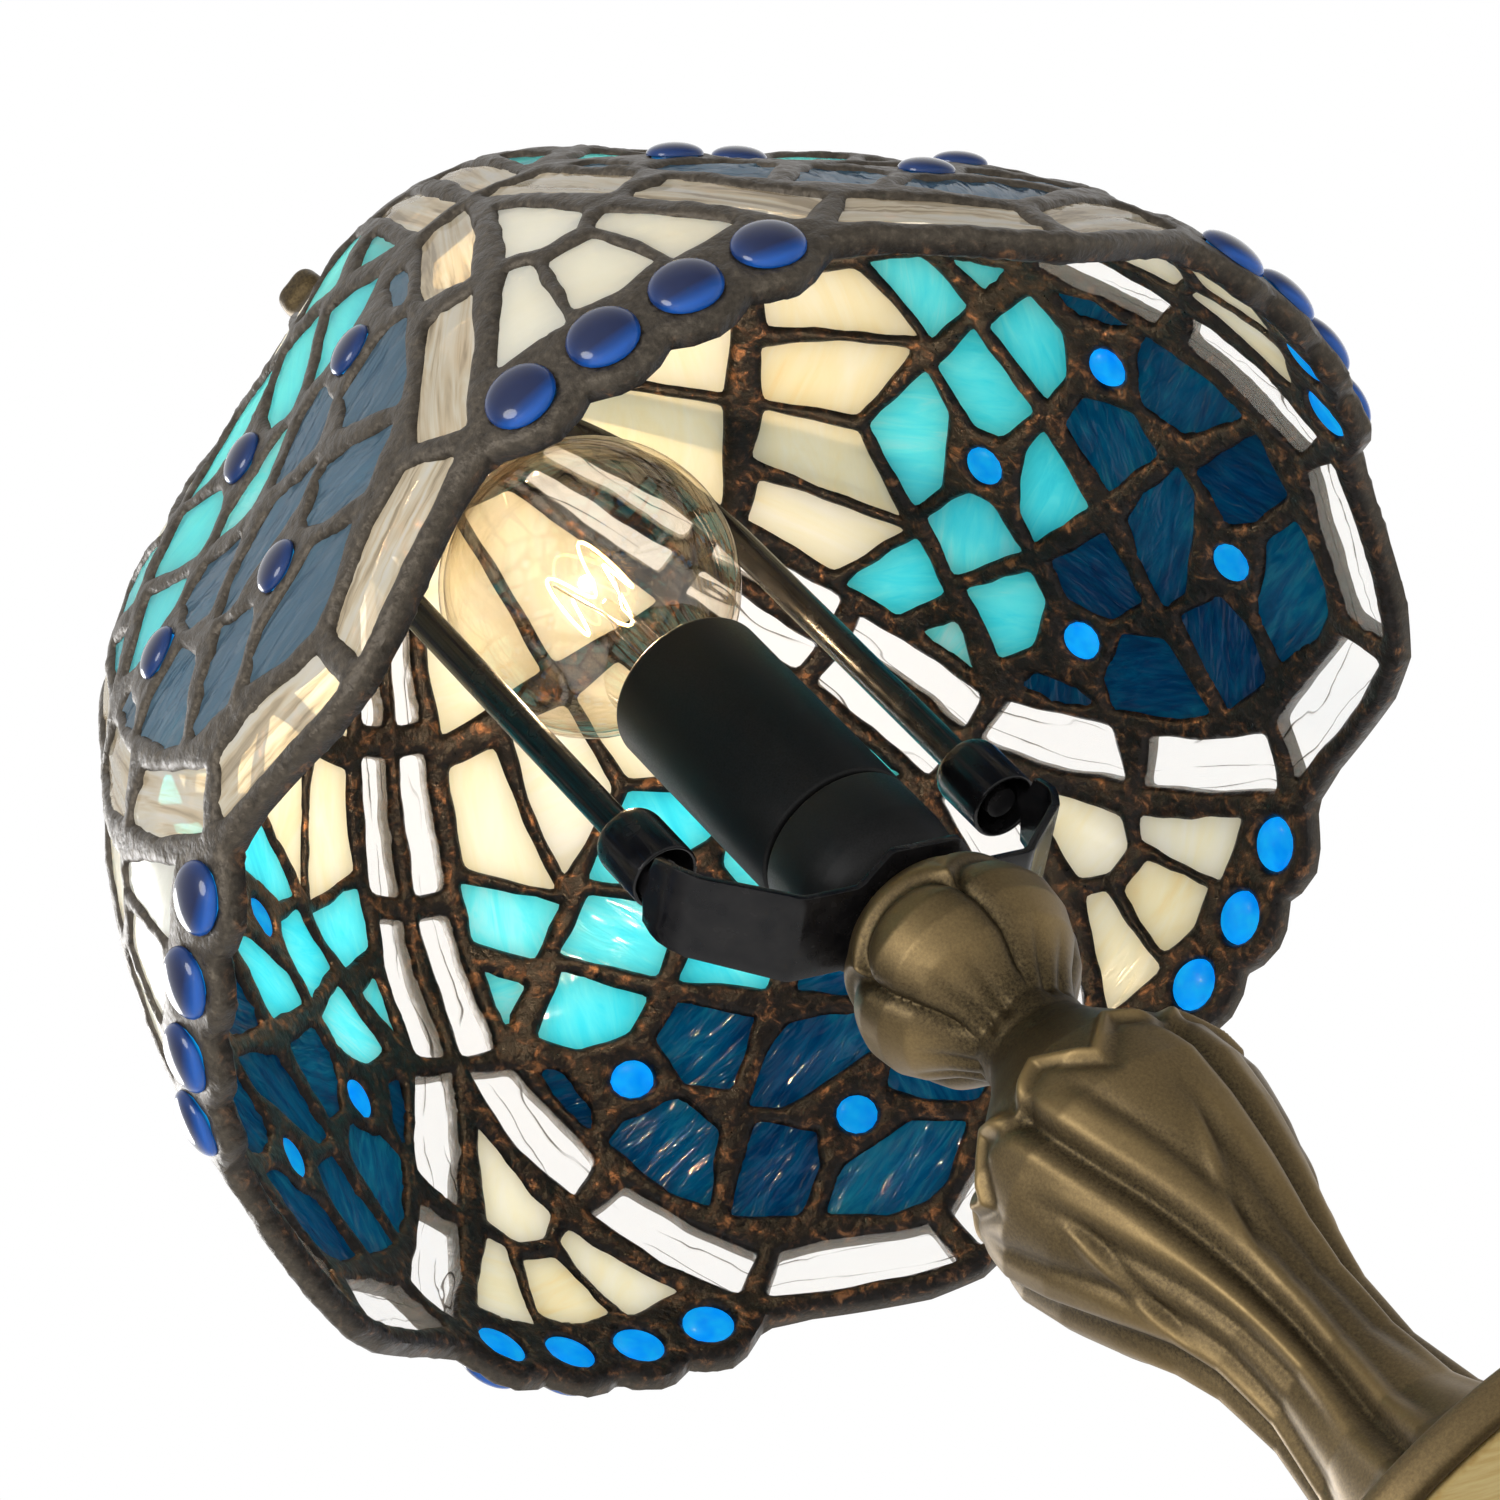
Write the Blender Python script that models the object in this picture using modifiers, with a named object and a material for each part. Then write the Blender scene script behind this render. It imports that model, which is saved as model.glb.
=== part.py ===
"""Stained-glass table lamp: five-lobed leaded shade on a harp, turned-up socket and bulb, cast stand.

The lamp stands on z = 0 with its axis on Z. The harp's legs lie along X. Lengths are in metres;
outlines on the shade are given as (angle in degrees, height in millimetres above the rim tips).
"""
import math

import bmesh
import bpy
from mathutils import Matrix, Vector
from mathutils.geometry import delaunay_2d_cdt

MM = 0.001
GAP = 0.3 * MM

# stand
BASE_TOP = 24.0 * MM
PAD_THICKNESS = 1.5 * MM
CORD_Z = 5.8 * MM
COLUMN_TOP = 168.0 * MM
ROD_RADIUS = 4.8 * MM
ROD_BORE = 3.2 * MM

# socket and bulb
SOCKET_RADIUS = 12.4 * MM
SOCKET_BOTTOM = 169.8 * MM
SOCKET_SPLIT = 187.0 * MM
SOCKET_TOP = 229.0 * MM
BULB_RADIUS = 22.5 * MM
BULB_CENTRE = 256.6 * MM

# harp
LEG_X = 29.0 * MM
WIRE_RADIUS = 2.4 * MM
LEG_BOTTOM = 188.5 * MM
LEG_TOP = 258.0 * MM
HARP_TOP = 307.4 * MM
SADDLE_Z = 168.9 * MM
SADDLE_THICKNESS = 1.2 * MM
FERRULE_BOTTOM = 187.5 * MM
FERRULE_LENGTH = 11.5 * MM
FERRULE_RADIUS = 5.25 * MM

# shade
LOBES = 5
SECTOR = 360.0 / LOBES
SHADE_TURN = 63.5
RIM_Z = 184.3 * MM
LEAD_THICKNESS = 4.0 * MM
GLASS_THICKNESS = 2.6 * MM
GLASS_GAP = 0.5
JEWEL_HEIGHT = 12.8
JEWEL_ANGLES = (-11.5, -3.8, 3.8, 11.5)
# radius, distance out from the middle of the glass
JEWEL_PROFILE = ((3.4, -1.9), (4.2, -1.3), (4.2, 2.4), (5.9, 2.4), (5.3, 4.2), (3.0, 5.8))
JEWEL_SIDES = 10
CAP_UNDERSIDE = 313.2 * MM
FINIAL_TOP = 346.0 * MM
MESH_STEP = 11.0

# height above the rim tips, radius at the middle of a lobe, share that a corner stands further out
SHADE_PROFILE = (
    (0, 97.0, 0.00), (20, 94.0, 0.035), (35, 88.5, 0.07), (50, 81.5, 0.10), (65, 73.2, 0.125),
    (82, 65.0, 0.135), (96, 54.2, 0.125), (111, 38.4, 0.095), (119, 29.2, 0.065), (127, 18.0, 0.04),
)

# right halves of the five glass zones of one lobe, from the crown down; mirrored at angle 0
CREAM_HALF = ((0, 123), (19.5, 123), (22.5, 112), (24.5, 104), (25.4, 92.8), (14, 84.6), (0, 91))
TURQUOISE_HALF = (
    (0, 88.4), (13.8, 81.2), (27.3, 89.8), (28, 79), (28, 69), (22.2, 62), (15.8, 61), (11.5, 63.6), (0, 55),
)
NAVY_HALF = (
    (0, 51.4), (2.6, 52.6), (10, 59), (14, 57.6), (22.4, 57.8), (26, 60.6), (23.6, 47.8),
    (16.6, 29.2), (9, 22), (0, 15.4),
)
BORDER_INNER = (
    (27.2, 117), (29, 105), (29.6, 90), (30.8, 68), (28.8, 61), (23.8, 41), (16.2, 22.5), (8.5, 17.5), (0, 11.5),
)
BORDER_OUTER = (
    (33.6, 117), (34.6, 105), (34.4, 90), (34.8, 64), (33.8, 56), (28.7, 39.6), (26.6, 31.4),
    (19.6, 16.6), (17.2, 14), (9.5, 7.6), (0, 3.4),
)
# right half of the fan between two lobes, measured from the corner between them
FAN_HALF = ((0, 59), (2, 49.5), (3.8, 40.6), (5.8, 38), (9, 29), (11.8, 21.2), (0, 20))
JEWEL_HALF = ((0, 17.8), (8, 17.8), (13.2, 17.0), (14.9, 12.8), (13.2, 8.6), (8, 7.9), (0, 7.9))
# line where two neighbouring sectors of the lead meet, from the crown to the notch at the rim
SEAM = (
    (36, 127), (36, 116), (36, 104), (36, 92), (36, 80), (36, 70), (35.6, 60.5), (33.1, 49),
    (31, 40.8), (29.4, 37.6), (27.3, 30.6), (22.2, 19), (20.4, 15.6), (19.4, 10.4),
)
# lower edge of the lead from the left notch under the four jewels and round the lobe's tip
JEWEL_EDGE = ((-49.5, 5.6), (-43.7, 6.4), (-39.8, 5.4), (-36, 6.2), (-32.2, 5.4), (-28.3, 6.4), (-22.5, 5.6))
TIP_EDGE = ((-19.4, 10.4), (-12, 6.0), (-6, 2.4), (0, 0), (6, 2.4), (12, 6.0))

# the column's turned outline: height, mean radius, depth of its flutes
COLUMN_PROFILE = (
    (24.3, 25.5, 0.0), (27, 24.0, 0.6), (31, 20.5, 0.9), (38, 15.6, 1.0), (47, 12.9, 0.9), (60, 11.3, 0.8),
    (74, 11.9, 0.9), (86, 14.8, 1.1), (98, 18.5, 1.3), (108, 21.2, 1.4), (116, 20.6, 1.3), (124, 16.4, 1.0),
    (130, 11.8, 0.6), (135, 8.9, 0.3), (139.5, 9.0, 0.3), (143, 11.6, 0.8), (147, 14.6, 1.3),
    (152, 16.4, 1.3), (158, 16.2, 1.3), (163, 14.2, 1.0), (166.5, 10.8, 0.5), (168, 7.6, 0.0),
)
BASE_PROFILE = ((24.0, 27.0), (22.0, 31.0), (18.5, 40.0), (13.0, 51.0), (8.5, 58.5), (5.2, 63.0), (0.6, 63.0))


def clear_scene():
    for obj in list(bpy.data.objects):
        bpy.data.objects.remove(obj, do_unlink=True)


def new_collection(name):
    collection = bpy.data.collections.new(name)
    bpy.context.scene.collection.children.link(collection)
    return collection


clear_scene()
PARTS = new_collection("stained_glass_table_lamp")
CUTTERS = new_collection("cutters")


def material(name, colour, roughness, metallic=0.0, transmission=0.0):
    mat = bpy.data.materials.new(name)
    mat.use_nodes = True
    shader = mat.node_tree.nodes["Principled BSDF"]
    shader.inputs["Base Color"].default_value = (*colour, 1.0)
    shader.inputs["Roughness"].default_value = roughness
    shader.inputs["Metallic"].default_value = metallic
    shader.inputs["Transmission Weight"].default_value = transmission
    return mat


BRONZE = material("antique_bronze", (0.16, 0.11, 0.05), 0.45, 0.85)
FELT = material("tan_pad", (0.62, 0.46, 0.22), 0.9)
BLACK_METAL = material("black_metal", (0.012, 0.012, 0.013), 0.3, 0.4)
BLACK_PLASTIC = material("black_plastic", (0.015, 0.015, 0.016), 0.55)
STEEL = material("zinc_steel", (0.55, 0.55, 0.57), 0.35, 1.0)
BRASS = material("brass", (0.72, 0.5, 0.2), 0.3, 1.0)
CLEAR_GLASS = material("clear_bulb_glass", (0.95, 0.95, 0.95), 0.02, 0.0, 1.0)
LEAD = material("patinated_lead", (0.07, 0.055, 0.045), 0.5, 0.6)
CREAM = material("cream_glass", (0.86, 0.78, 0.58), 0.25)
TURQUOISE = material("turquoise_glass", (0.12, 0.62, 0.68), 0.2)
NAVY = material("navy_glass", (0.01, 0.09, 0.2), 0.2)
RIPPLE = material("clear_ripple_glass", (0.85, 0.84, 0.82), 0.1, 0.0, 0.8)
COBALT = material("cobalt_jewel", (0.01, 0.06, 0.5), 0.08, 0.0, 0.4)


def add_object(name, mesh, mat, turn=0.0):
    obj = bpy.data.objects.new(name, mesh)
    PARTS.objects.link(obj)
    if not mesh.materials:
        mesh.materials.append(mat)
    obj.rotation_euler.z = math.radians(turn)
    return obj


def mesh_from(bm, name, smooth_angle=35.0):
    bmesh.ops.recalc_face_normals(bm, faces=bm.faces[:])
    mesh = bpy.data.meshes.new(name)
    bm.to_mesh(mesh)
    bm.free()
    mesh.shade_smooth()
    mesh.set_sharp_from_angle(angle=math.radians(smooth_angle))
    return mesh


def solidify(obj, thickness, offset):
    mod = obj.modifiers.new("thickness", "SOLIDIFY")
    mod.thickness = thickness
    mod.offset = offset
    mod.use_even_offset = True
    return mod


def boolean(obj, operation, other):
    other.hide_render = True
    other.display_type = "WIRE"
    for owner in list(other.users_collection):
        owner.objects.unlink(other)
    CUTTERS.objects.link(other)
    mod = obj.modifiers.new(operation.lower(), "BOOLEAN")
    mod.operation = operation
    mod.object = other
    mod.solver = "EXACT"


def turned(name, profile, mat, steps=32, at=(0.0, 0.0)):
    """Solid of revolution about a vertical line at at; profile is (radius, height) down the outside."""
    closed = all(radius > 0 for radius, _ in profile)
    bm = bmesh.new()
    verts = [bm.verts.new((radius, 0.0, height)) for radius, height in profile]
    pairs = list(zip(verts, verts[1:]))
    if closed:
        pairs.append((verts[-1], verts[0]))
    for a, b in pairs:
        bm.edges.new((a, b))
    mesh = bpy.data.meshes.new(name)
    bm.to_mesh(mesh)
    bm.free()
    obj = add_object(name, mesh, mat)
    obj.location = (at[0], at[1], 0.0)
    screw = obj.modifiers.new("turn", "SCREW")
    screw.steps = steps
    screw.render_steps = steps
    screw.use_merge_vertices = True
    screw.merge_threshold = 0.00001
    screw.use_smooth_shade = True
    return obj


def cylinder(name, radius, bottom, top, at=(0.0, 0.0), segments=32):
    bm = bmesh.new()
    bmesh.ops.create_cone(
        bm, cap_ends=True, segments=segments, radius1=radius, radius2=radius, depth=top - bottom)
    bmesh.ops.translate(bm, verts=bm.verts[:], vec=(at[0], at[1], (top + bottom) / 2))
    return add_object(name, mesh_from(bm, name), BLACK_METAL)


# ---------------------------------------------------------------- shade surface

def smooth_table(table, at, column):
    """Value of a column of table at the height at, along a smooth curve through its rows."""
    for i in range(len(table) - 1):
        low, high = table[i], table[i + 1]
        if at <= high[0] or i == len(table) - 2:
            break
    span = high[0] - low[0]
    t = (at - low[0]) / span
    before = table[i - 1] if i else low
    after = table[i + 2] if i + 2 < len(table) else high
    slope_low = (high[column] - before[column]) / (high[0] - before[0]) * span
    slope_high = (after[column] - low[column]) / (after[0] - low[0]) * span
    value = (2 * t**3 - 3 * t**2 + 1) * low[column] + (t**3 - 2 * t**2 + t) * slope_low
    return value + (3 * t**2 - 2 * t**3) * high[column] + (t**3 - t**2) * slope_high


def shade_radius(angle, height):
    """Radius in millimetres of the shade's middle surface; angle 0 is the middle of a lobe."""
    swell = (1 - math.cos(math.radians(LOBES * angle))) / 2
    return smooth_table(SHADE_PROFILE, height, 1) * (1 + smooth_table(SHADE_PROFILE, height, 2) * swell)


def shade_point(angle, height, turn=0.0):
    radius = shade_radius(angle, height) * MM
    a = math.radians(angle + turn)
    return Vector((radius * math.cos(a), radius * math.sin(a), RIM_Z + height * MM))


def shade_normal(angle, height):
    along = shade_point(angle + 0.5, height) - shade_point(angle - 0.5, height)
    up = shade_point(angle, height + 0.5) - shade_point(angle, height - 0.5)
    return along.cross(up).normalized()


def degree(height):
    """Length in millimetres of one degree at this height."""
    return shade_radius(0, height) * math.pi / 180


def refine(outline, closed=True):
    """The outline with its long edges divided, so that it can follow the curved surface."""
    result = []
    ends = list(outline[1:]) + ([outline[0]] if closed else [])
    for (a0, h0), (a1, h1) in zip(outline, ends):
        length = math.hypot((a1 - a0) * degree((h0 + h1) / 2), h1 - h0)
        count = max(1, math.ceil(length / MESH_STEP - 0.2))
        result += [(a0 + (a1 - a0) * k / count, h0 + (h1 - h0) * k / count) for k in range(count)]
    if not closed:
        result.append(outline[-1])
    return result


def inset(outline, distance):
    """The closed outline moved inwards by distance, in millimetres on the surface."""
    area = sum(a0 * h1 - a1 * h0 for (a0, h0), (a1, h1) in zip(outline, outline[1:] + outline[:1]))
    side = 1 if area > 0 else -1
    result = []
    for i, (angle, height) in enumerate(outline):
        scale = degree(height)
        normals = []
        for (a0, h0), (a1, h1) in ((outline[i - 1], outline[i]), (outline[i], outline[(i + 1) % len(outline)])):
            edge = Vector(((a1 - a0) * scale, h1 - h0)).normalized()
            normals.append(Vector((-edge.y, edge.x)) * side)
        bisector = normals[0] + normals[1]
        bisector *= distance / max(0.35, bisector.dot(normals[0]))
        result.append((angle + bisector.x / scale, height + bisector.y))
    return result


def mirrored(half):
    """A closed outline from its right half, which starts and ends on angle 0."""
    left = [(-angle, height) for angle, height in reversed(half[1:-1])]
    return list(half) + left


def around(half, centre):
    return [(angle + centre, height) for angle, height in mirrored(half)]


def inside(point, outline):
    a, h = point
    odd = False
    for (a0, h0), (a1, h1) in zip(outline, outline[1:] + outline[:1]):
        if (h0 > h) != (h1 > h) and a < a0 + (a1 - a0) * (h - h0) / (h1 - h0):
            odd = not odd
    return odd


def patch(bm, outline, holes=(), turn=0.0):
    """Adds the part of the shade's middle surface inside outline and outside holes to bm."""
    points, edges = [], []
    for loop in (outline, *holes):
        start = len(points)
        points += loop
        edges += [(start + k, start + (k + 1) % len(loop)) for k in range(len(loop))]
    lows = [min(p[k] for p in outline) for k in (0, 1)]
    highs = [max(p[k] for p in outline) for k in (0, 1)]
    step_angle = MESH_STEP / 1.5
    for i in range(1, math.ceil((highs[0] - lows[0]) / step_angle)):
        for j in range(1, math.ceil((highs[1] - lows[1]) / MESH_STEP)):
            spot = (lows[0] + i * step_angle, lows[1] + j * MESH_STEP)
            near = min(math.hypot((p[0] - spot[0]) * degree(spot[1]), p[1] - spot[1]) for p in points)
            if near > 0.55 * MESH_STEP and inside(spot, outline) and not any(inside(spot, h) for h in holes):
                points.append(spot)
    flat = [Vector((angle * 1.5, height)) for angle, height in points]
    out_points, _, faces, *_ = delaunay_2d_cdt(flat, edges, [], 0, 1e-6)
    places = [(p.x / 1.5, p.y) for p in out_points]
    verts = {}
    for face in faces:
        centre = (sum(places[v][0] for v in face) / 3, sum(places[v][1] for v in face) / 3)
        if not inside(centre, outline) or any(inside(centre, h) for h in holes):
            continue
        corners = []
        for v in face:
            if v not in verts:
                verts[v] = bm.verts.new(shade_point(*places[v], turn))
            corners.append(verts[v])
        bm.faces.new(corners)


CREAM_ZONE = refine(mirrored(CREAM_HALF))
TURQUOISE_ZONE = refine(mirrored(TURQUOISE_HALF))
NAVY_ZONE = refine(mirrored(NAVY_HALF))
BORDER_ZONE = refine(
    [(-a, h) for a, h in BORDER_OUTER[:-1]] + list(reversed(BORDER_OUTER))
    + list(BORDER_INNER) + [(-a, h) for a, h in reversed(BORDER_INNER[:-1])]
)
FAN_ZONE = refine(around(FAN_HALF, -SECTOR / 2))
JEWEL_ZONE = refine(around(JEWEL_HALF, -SECTOR / 2))


def lead_frame():
    """The solder lines of the whole shade: five equal sectors welded along their seams."""
    seam = refine(SEAM, closed=False)
    left = [(angle - SECTOR, height) for angle, height in seam]
    crown = [(angle, 127) for angle in (-24, -12, 0, 12, 24)]
    bottom = refine(list(JEWEL_EDGE) + list(TIP_EDGE) + [seam[-1]], closed=False)[:-1]
    outline = list(reversed(seam)) + list(reversed(crown)) + left + bottom
    holes = [CREAM_ZONE, TURQUOISE_ZONE, NAVY_ZONE, BORDER_ZONE, FAN_ZONE, JEWEL_ZONE]
    bm = bmesh.new()
    for k in range(LOBES):
        patch(bm, outline, holes, turn=k * SECTOR)
    bmesh.ops.remove_doubles(bm, verts=bm.verts[:], dist=0.00002)
    obj = add_object("lead_frame", mesh_from(bm, "lead_frame"), LEAD, SHADE_TURN)
    solidify(obj, LEAD_THICKNESS, 0.0)


def glass_panels():
    """One curved panel for each colour of glass in each lobe, and one in each fan."""
    zones = (
        ("cream_panel", CREAM_ZONE, CREAM), ("turquoise_panel", TURQUOISE_ZONE, TURQUOISE),
        ("navy_panel", NAVY_ZONE, NAVY), ("border_glass", BORDER_ZONE, RIPPLE), ("fan_panel", FAN_ZONE, CREAM),
    )
    for name, zone, mat in zones:
        bm = bmesh.new()
        patch(bm, inset(zone, GLASS_GAP))
        mesh = mesh_from(bm, name)
        for k in range(LOBES):
            obj = add_object(f"{name}_{k + 1}", mesh, mat, SHADE_TURN + k * SECTOR)
            solidify(obj, GLASS_THICKNESS, 0.0)


def jewel_strips():
    """Four round jewels in a row under each fan, joined by the foil that holds them."""
    bm = bmesh.new()
    patch(bm, inset(JEWEL_ZONE, GLASS_GAP))
    strip = mesh_from(bm, "jewel_strip")
    bm = bmesh.new()
    for angle in JEWEL_ANGLES:
        place = shade_point(angle - SECTOR / 2, JEWEL_HEIGHT)
        normal = shade_normal(angle - SECTOR / 2, JEWEL_HEIGHT)
        frame = Matrix.Translation(place) @ normal.to_track_quat("Z", "Y").to_matrix().to_4x4()
        rings = []
        for radius, out in JEWEL_PROFILE:
            turns = [2 * math.pi * k / JEWEL_SIDES for k in range(JEWEL_SIDES)]
            spots = [Vector((radius * math.cos(a), radius * math.sin(a), out)) * MM for a in turns]
            rings.append([bm.verts.new(frame @ spot) for spot in spots])
        for lower, upper in zip(rings, rings[1:]):
            for k in range(JEWEL_SIDES):
                m = (k + 1) % JEWEL_SIDES
                bm.faces.new((lower[k], lower[m], upper[m], upper[k]))
        bm.faces.new(rings[0])
        bm.faces.new(rings[-1])
    domes = mesh_from(bm, "jewel_domes")
    for k in range(LOBES):
        turn = SHADE_TURN + k * SECTOR
        obj = add_object(f"jewel_strip_{k + 1}", strip, COBALT, turn)
        solidify(obj, GLASS_THICKNESS, 0.0)
        boolean(obj, "UNION", add_object(f"jewel_domes_{k + 1}", domes, COBALT, turn))


def shade_fittings():
    """Metal cap over the crown, and the finial that clamps it to the harp's stud."""
    z = CAP_UNDERSIDE
    turned("shade_cap", [
        (4 * MM, z + 2.0 * MM), (9 * MM, z + 2.0 * MM), (20 * MM, z + 1.4 * MM), (24 * MM, z - 0.6 * MM),
        (25.6 * MM, z - 3.0 * MM), (24.4 * MM, z - 3.2 * MM), (22.6 * MM, z - 0.8 * MM), (21 * MM, z),
        (4 * MM, z),
    ], BRONZE, steps=36)
    bottom = z + 2.0 * MM + GAP
    turned("finial", [
        (0, FINIAL_TOP), (3.9 * MM, FINIAL_TOP - 0.4 * MM), (4.2 * MM, FINIAL_TOP - 4.4 * MM),
        (5.2 * MM, FINIAL_TOP - 10.5 * MM), (4.4 * MM, FINIAL_TOP - 14 * MM), (3.6 * MM, FINIAL_TOP - 17 * MM),
        (6.0 * MM, FINIAL_TOP - 21 * MM), (5.6 * MM, FINIAL_TOP - 24.6 * MM), (7.5 * MM, bottom + 1.6 * MM),
        (7.5 * MM, bottom), (3.3 * MM, bottom), (3.3 * MM, bottom + 12 * MM), (0, bottom + 12.6 * MM),
    ], BRONZE, steps=20)


# ---------------------------------------------------------------- stand

def fluted(name, rows, mat, segments, lobe_count):
    """Closed ring-shaped solid from (height, radius, flute depth) rows up the outside and down the bore."""
    bm = bmesh.new()
    rings = []
    for height, radius, depth in rows:
        ring = []
        for k in range(segments):
            a = 2 * math.pi * k / segments
            r = (radius + depth * math.cos(lobe_count * a)) * MM
            ring.append(bm.verts.new((r * math.cos(a), r * math.sin(a), height * MM)))
        rings.append(ring)
    for lower, upper in zip(rings, rings[1:] + rings[:1]):
        for k in range(segments):
            m = (k + 1) % segments
            bm.faces.new((lower[k], lower[m], upper[m], upper[k]))
    return add_object(name, mesh_from(bm, name), mat)


def column_casting():
    """Fluted baluster with a lobed knob on top, cast in one, with a bore for the rod."""
    bore = ROD_RADIUS / MM + 0.4
    rows = list(COLUMN_PROFILE) + [(COLUMN_TOP / MM, bore, 0.0), (BASE_TOP / MM + 0.3, bore, 0.0)]
    fluted("column_casting", rows, BRONZE, 30, 5)


def base():
    """Hollow round foot, with a seat for the column, a cord hole at the back and a pad underneath."""
    wall = 3.2
    outer = [(r * MM, h * MM) for h, r in BASE_PROFILE]
    lip = (60.6 * MM, 0.6 * MM)
    ledge = [(60.6 * MM, PAD_THICKNESS + GAP), (58.6 * MM, PAD_THICKNESS + GAP)]
    under = [((r - 2.4) * MM, (h - wall) * MM) for h, r in reversed(BASE_PROFILE[1:5])]
    bore, hub_bottom = ROD_RADIUS + 0.4 * MM, BASE_TOP - 4 * MM
    hub = [(12 * MM, hub_bottom), (bore, hub_bottom), (bore, BASE_TOP)]
    obj = turned("base_casting", outer + [lip] + ledge + under + hub, BRONZE, steps=44)
    cord_hole = cylinder("cord_hole", 3.4 * MM, 0.045, 0.075, segments=20)
    cord_hole.data.transform(to_back(CORD_Z))
    boolean(obj, "DIFFERENCE", cord_hole)
    turned("base_pad", [
        (0, PAD_THICKNESS), (60.3 * MM, PAD_THICKNESS), (60.3 * MM, 0), (0, 0),
    ], FELT, steps=48)
    bushing = turned("cord_bushing", [
        (4.6 * MM, 64.5 * MM), (4.6 * MM, 63.3 * MM), (3.1 * MM, 63.3 * MM), (3.1 * MM, 55 * MM),
        (1.9 * MM, 55 * MM), (1.9 * MM, 64.5 * MM),
    ], BLACK_PLASTIC, steps=20)
    bushing.data.transform(to_back(0.0))
    bushing.modifiers["turn"].axis = "Y"
    bushing.location.z = CORD_Z


def to_back(height):
    """Turns a part made along +Z so that it lies along +Y at the given height."""
    return Matrix.Translation((0, 0, height)) @ Matrix.Rotation(math.radians(-90), 4, "X")


def rod_and_nut():
    """Threaded tube from the foot to the socket, pulled tight by a nut under the foot."""
    bottom = 11.0 * MM
    top = SOCKET_BOTTOM + 12 * MM
    turned("lamp_rod", [
        (ROD_RADIUS, top), (ROD_RADIUS, bottom), (ROD_BORE, bottom), (ROD_BORE, top),
    ], STEEL, steps=24)
    washer_top = BASE_TOP - 4 * MM - GAP
    turned("rod_washer", [
        (10 * MM, washer_top), (10 * MM, washer_top - 1.5 * MM), (ROD_RADIUS + 0.3 * MM, washer_top - 1.5 * MM),
        (ROD_RADIUS + 0.3 * MM, washer_top),
    ], STEEL, steps=28)
    nut_top = washer_top - 1.5 * MM - GAP
    nut_bore = (ROD_RADIUS + GAP) / math.cos(math.pi / 6)
    turned("rod_nut", [
        (8.6 * MM, nut_top), (8.6 * MM, nut_top - 4.5 * MM), (nut_bore, nut_top - 4.5 * MM), (nut_bore, nut_top),
    ], BRASS, steps=6)


# ---------------------------------------------------------------- socket and bulb

def socket():
    """Moulded lampholder: cup below, sleeve above, brass screw shell and centre contact inside."""
    r = SOCKET_RADIUS
    bottom, split = SOCKET_BOTTOM, SOCKET_SPLIT
    turned("socket_cup", [
        (r, split), (r, bottom + 7 * MM), (r - 1.2 * MM, bottom + 2.6 * MM), (r - 4 * MM, bottom),
        (ROD_RADIUS + 0.3 * MM, bottom), (ROD_RADIUS + 0.3 * MM, bottom + 8 * MM), (r - 2 * MM, bottom + 9 * MM),
        (r - 2 * MM, split),
    ], BLACK_PLASTIC, steps=28)
    turned("socket_sleeve", [
        (r - 0.7 * MM, SOCKET_TOP), (r, SOCKET_TOP - 0.8 * MM), (r, split + GAP), (r - 2 * MM, split + GAP),
        (r - 2 * MM, SOCKET_TOP - 0.4 * MM), (r - 1.5 * MM, SOCKET_TOP),
    ], BLACK_PLASTIC, steps=28)
    turned("socket_screw_shell", [
        (7.6 * MM, 217 * MM), (7.6 * MM, 197 * MM), (4.5 * MM, 197 * MM), (4.5 * MM, 197.6 * MM),
        (7.0 * MM, 197.6 * MM), (7.0 * MM, 217 * MM),
    ], BRASS, steps=28)
    turned("socket_body", [
        (0, 196.7 * MM), (10.0 * MM, 196.7 * MM), (10.0 * MM, 188 * MM), (0, 188 * MM),
    ], BLACK_PLASTIC, steps=28)
    turned("socket_contact", [
        (0, 199.6 * MM), (3.2 * MM, 199.2 * MM), (3.2 * MM, 197.0 * MM), (0, 197.0 * MM),
    ], BRASS, steps=20)


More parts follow.
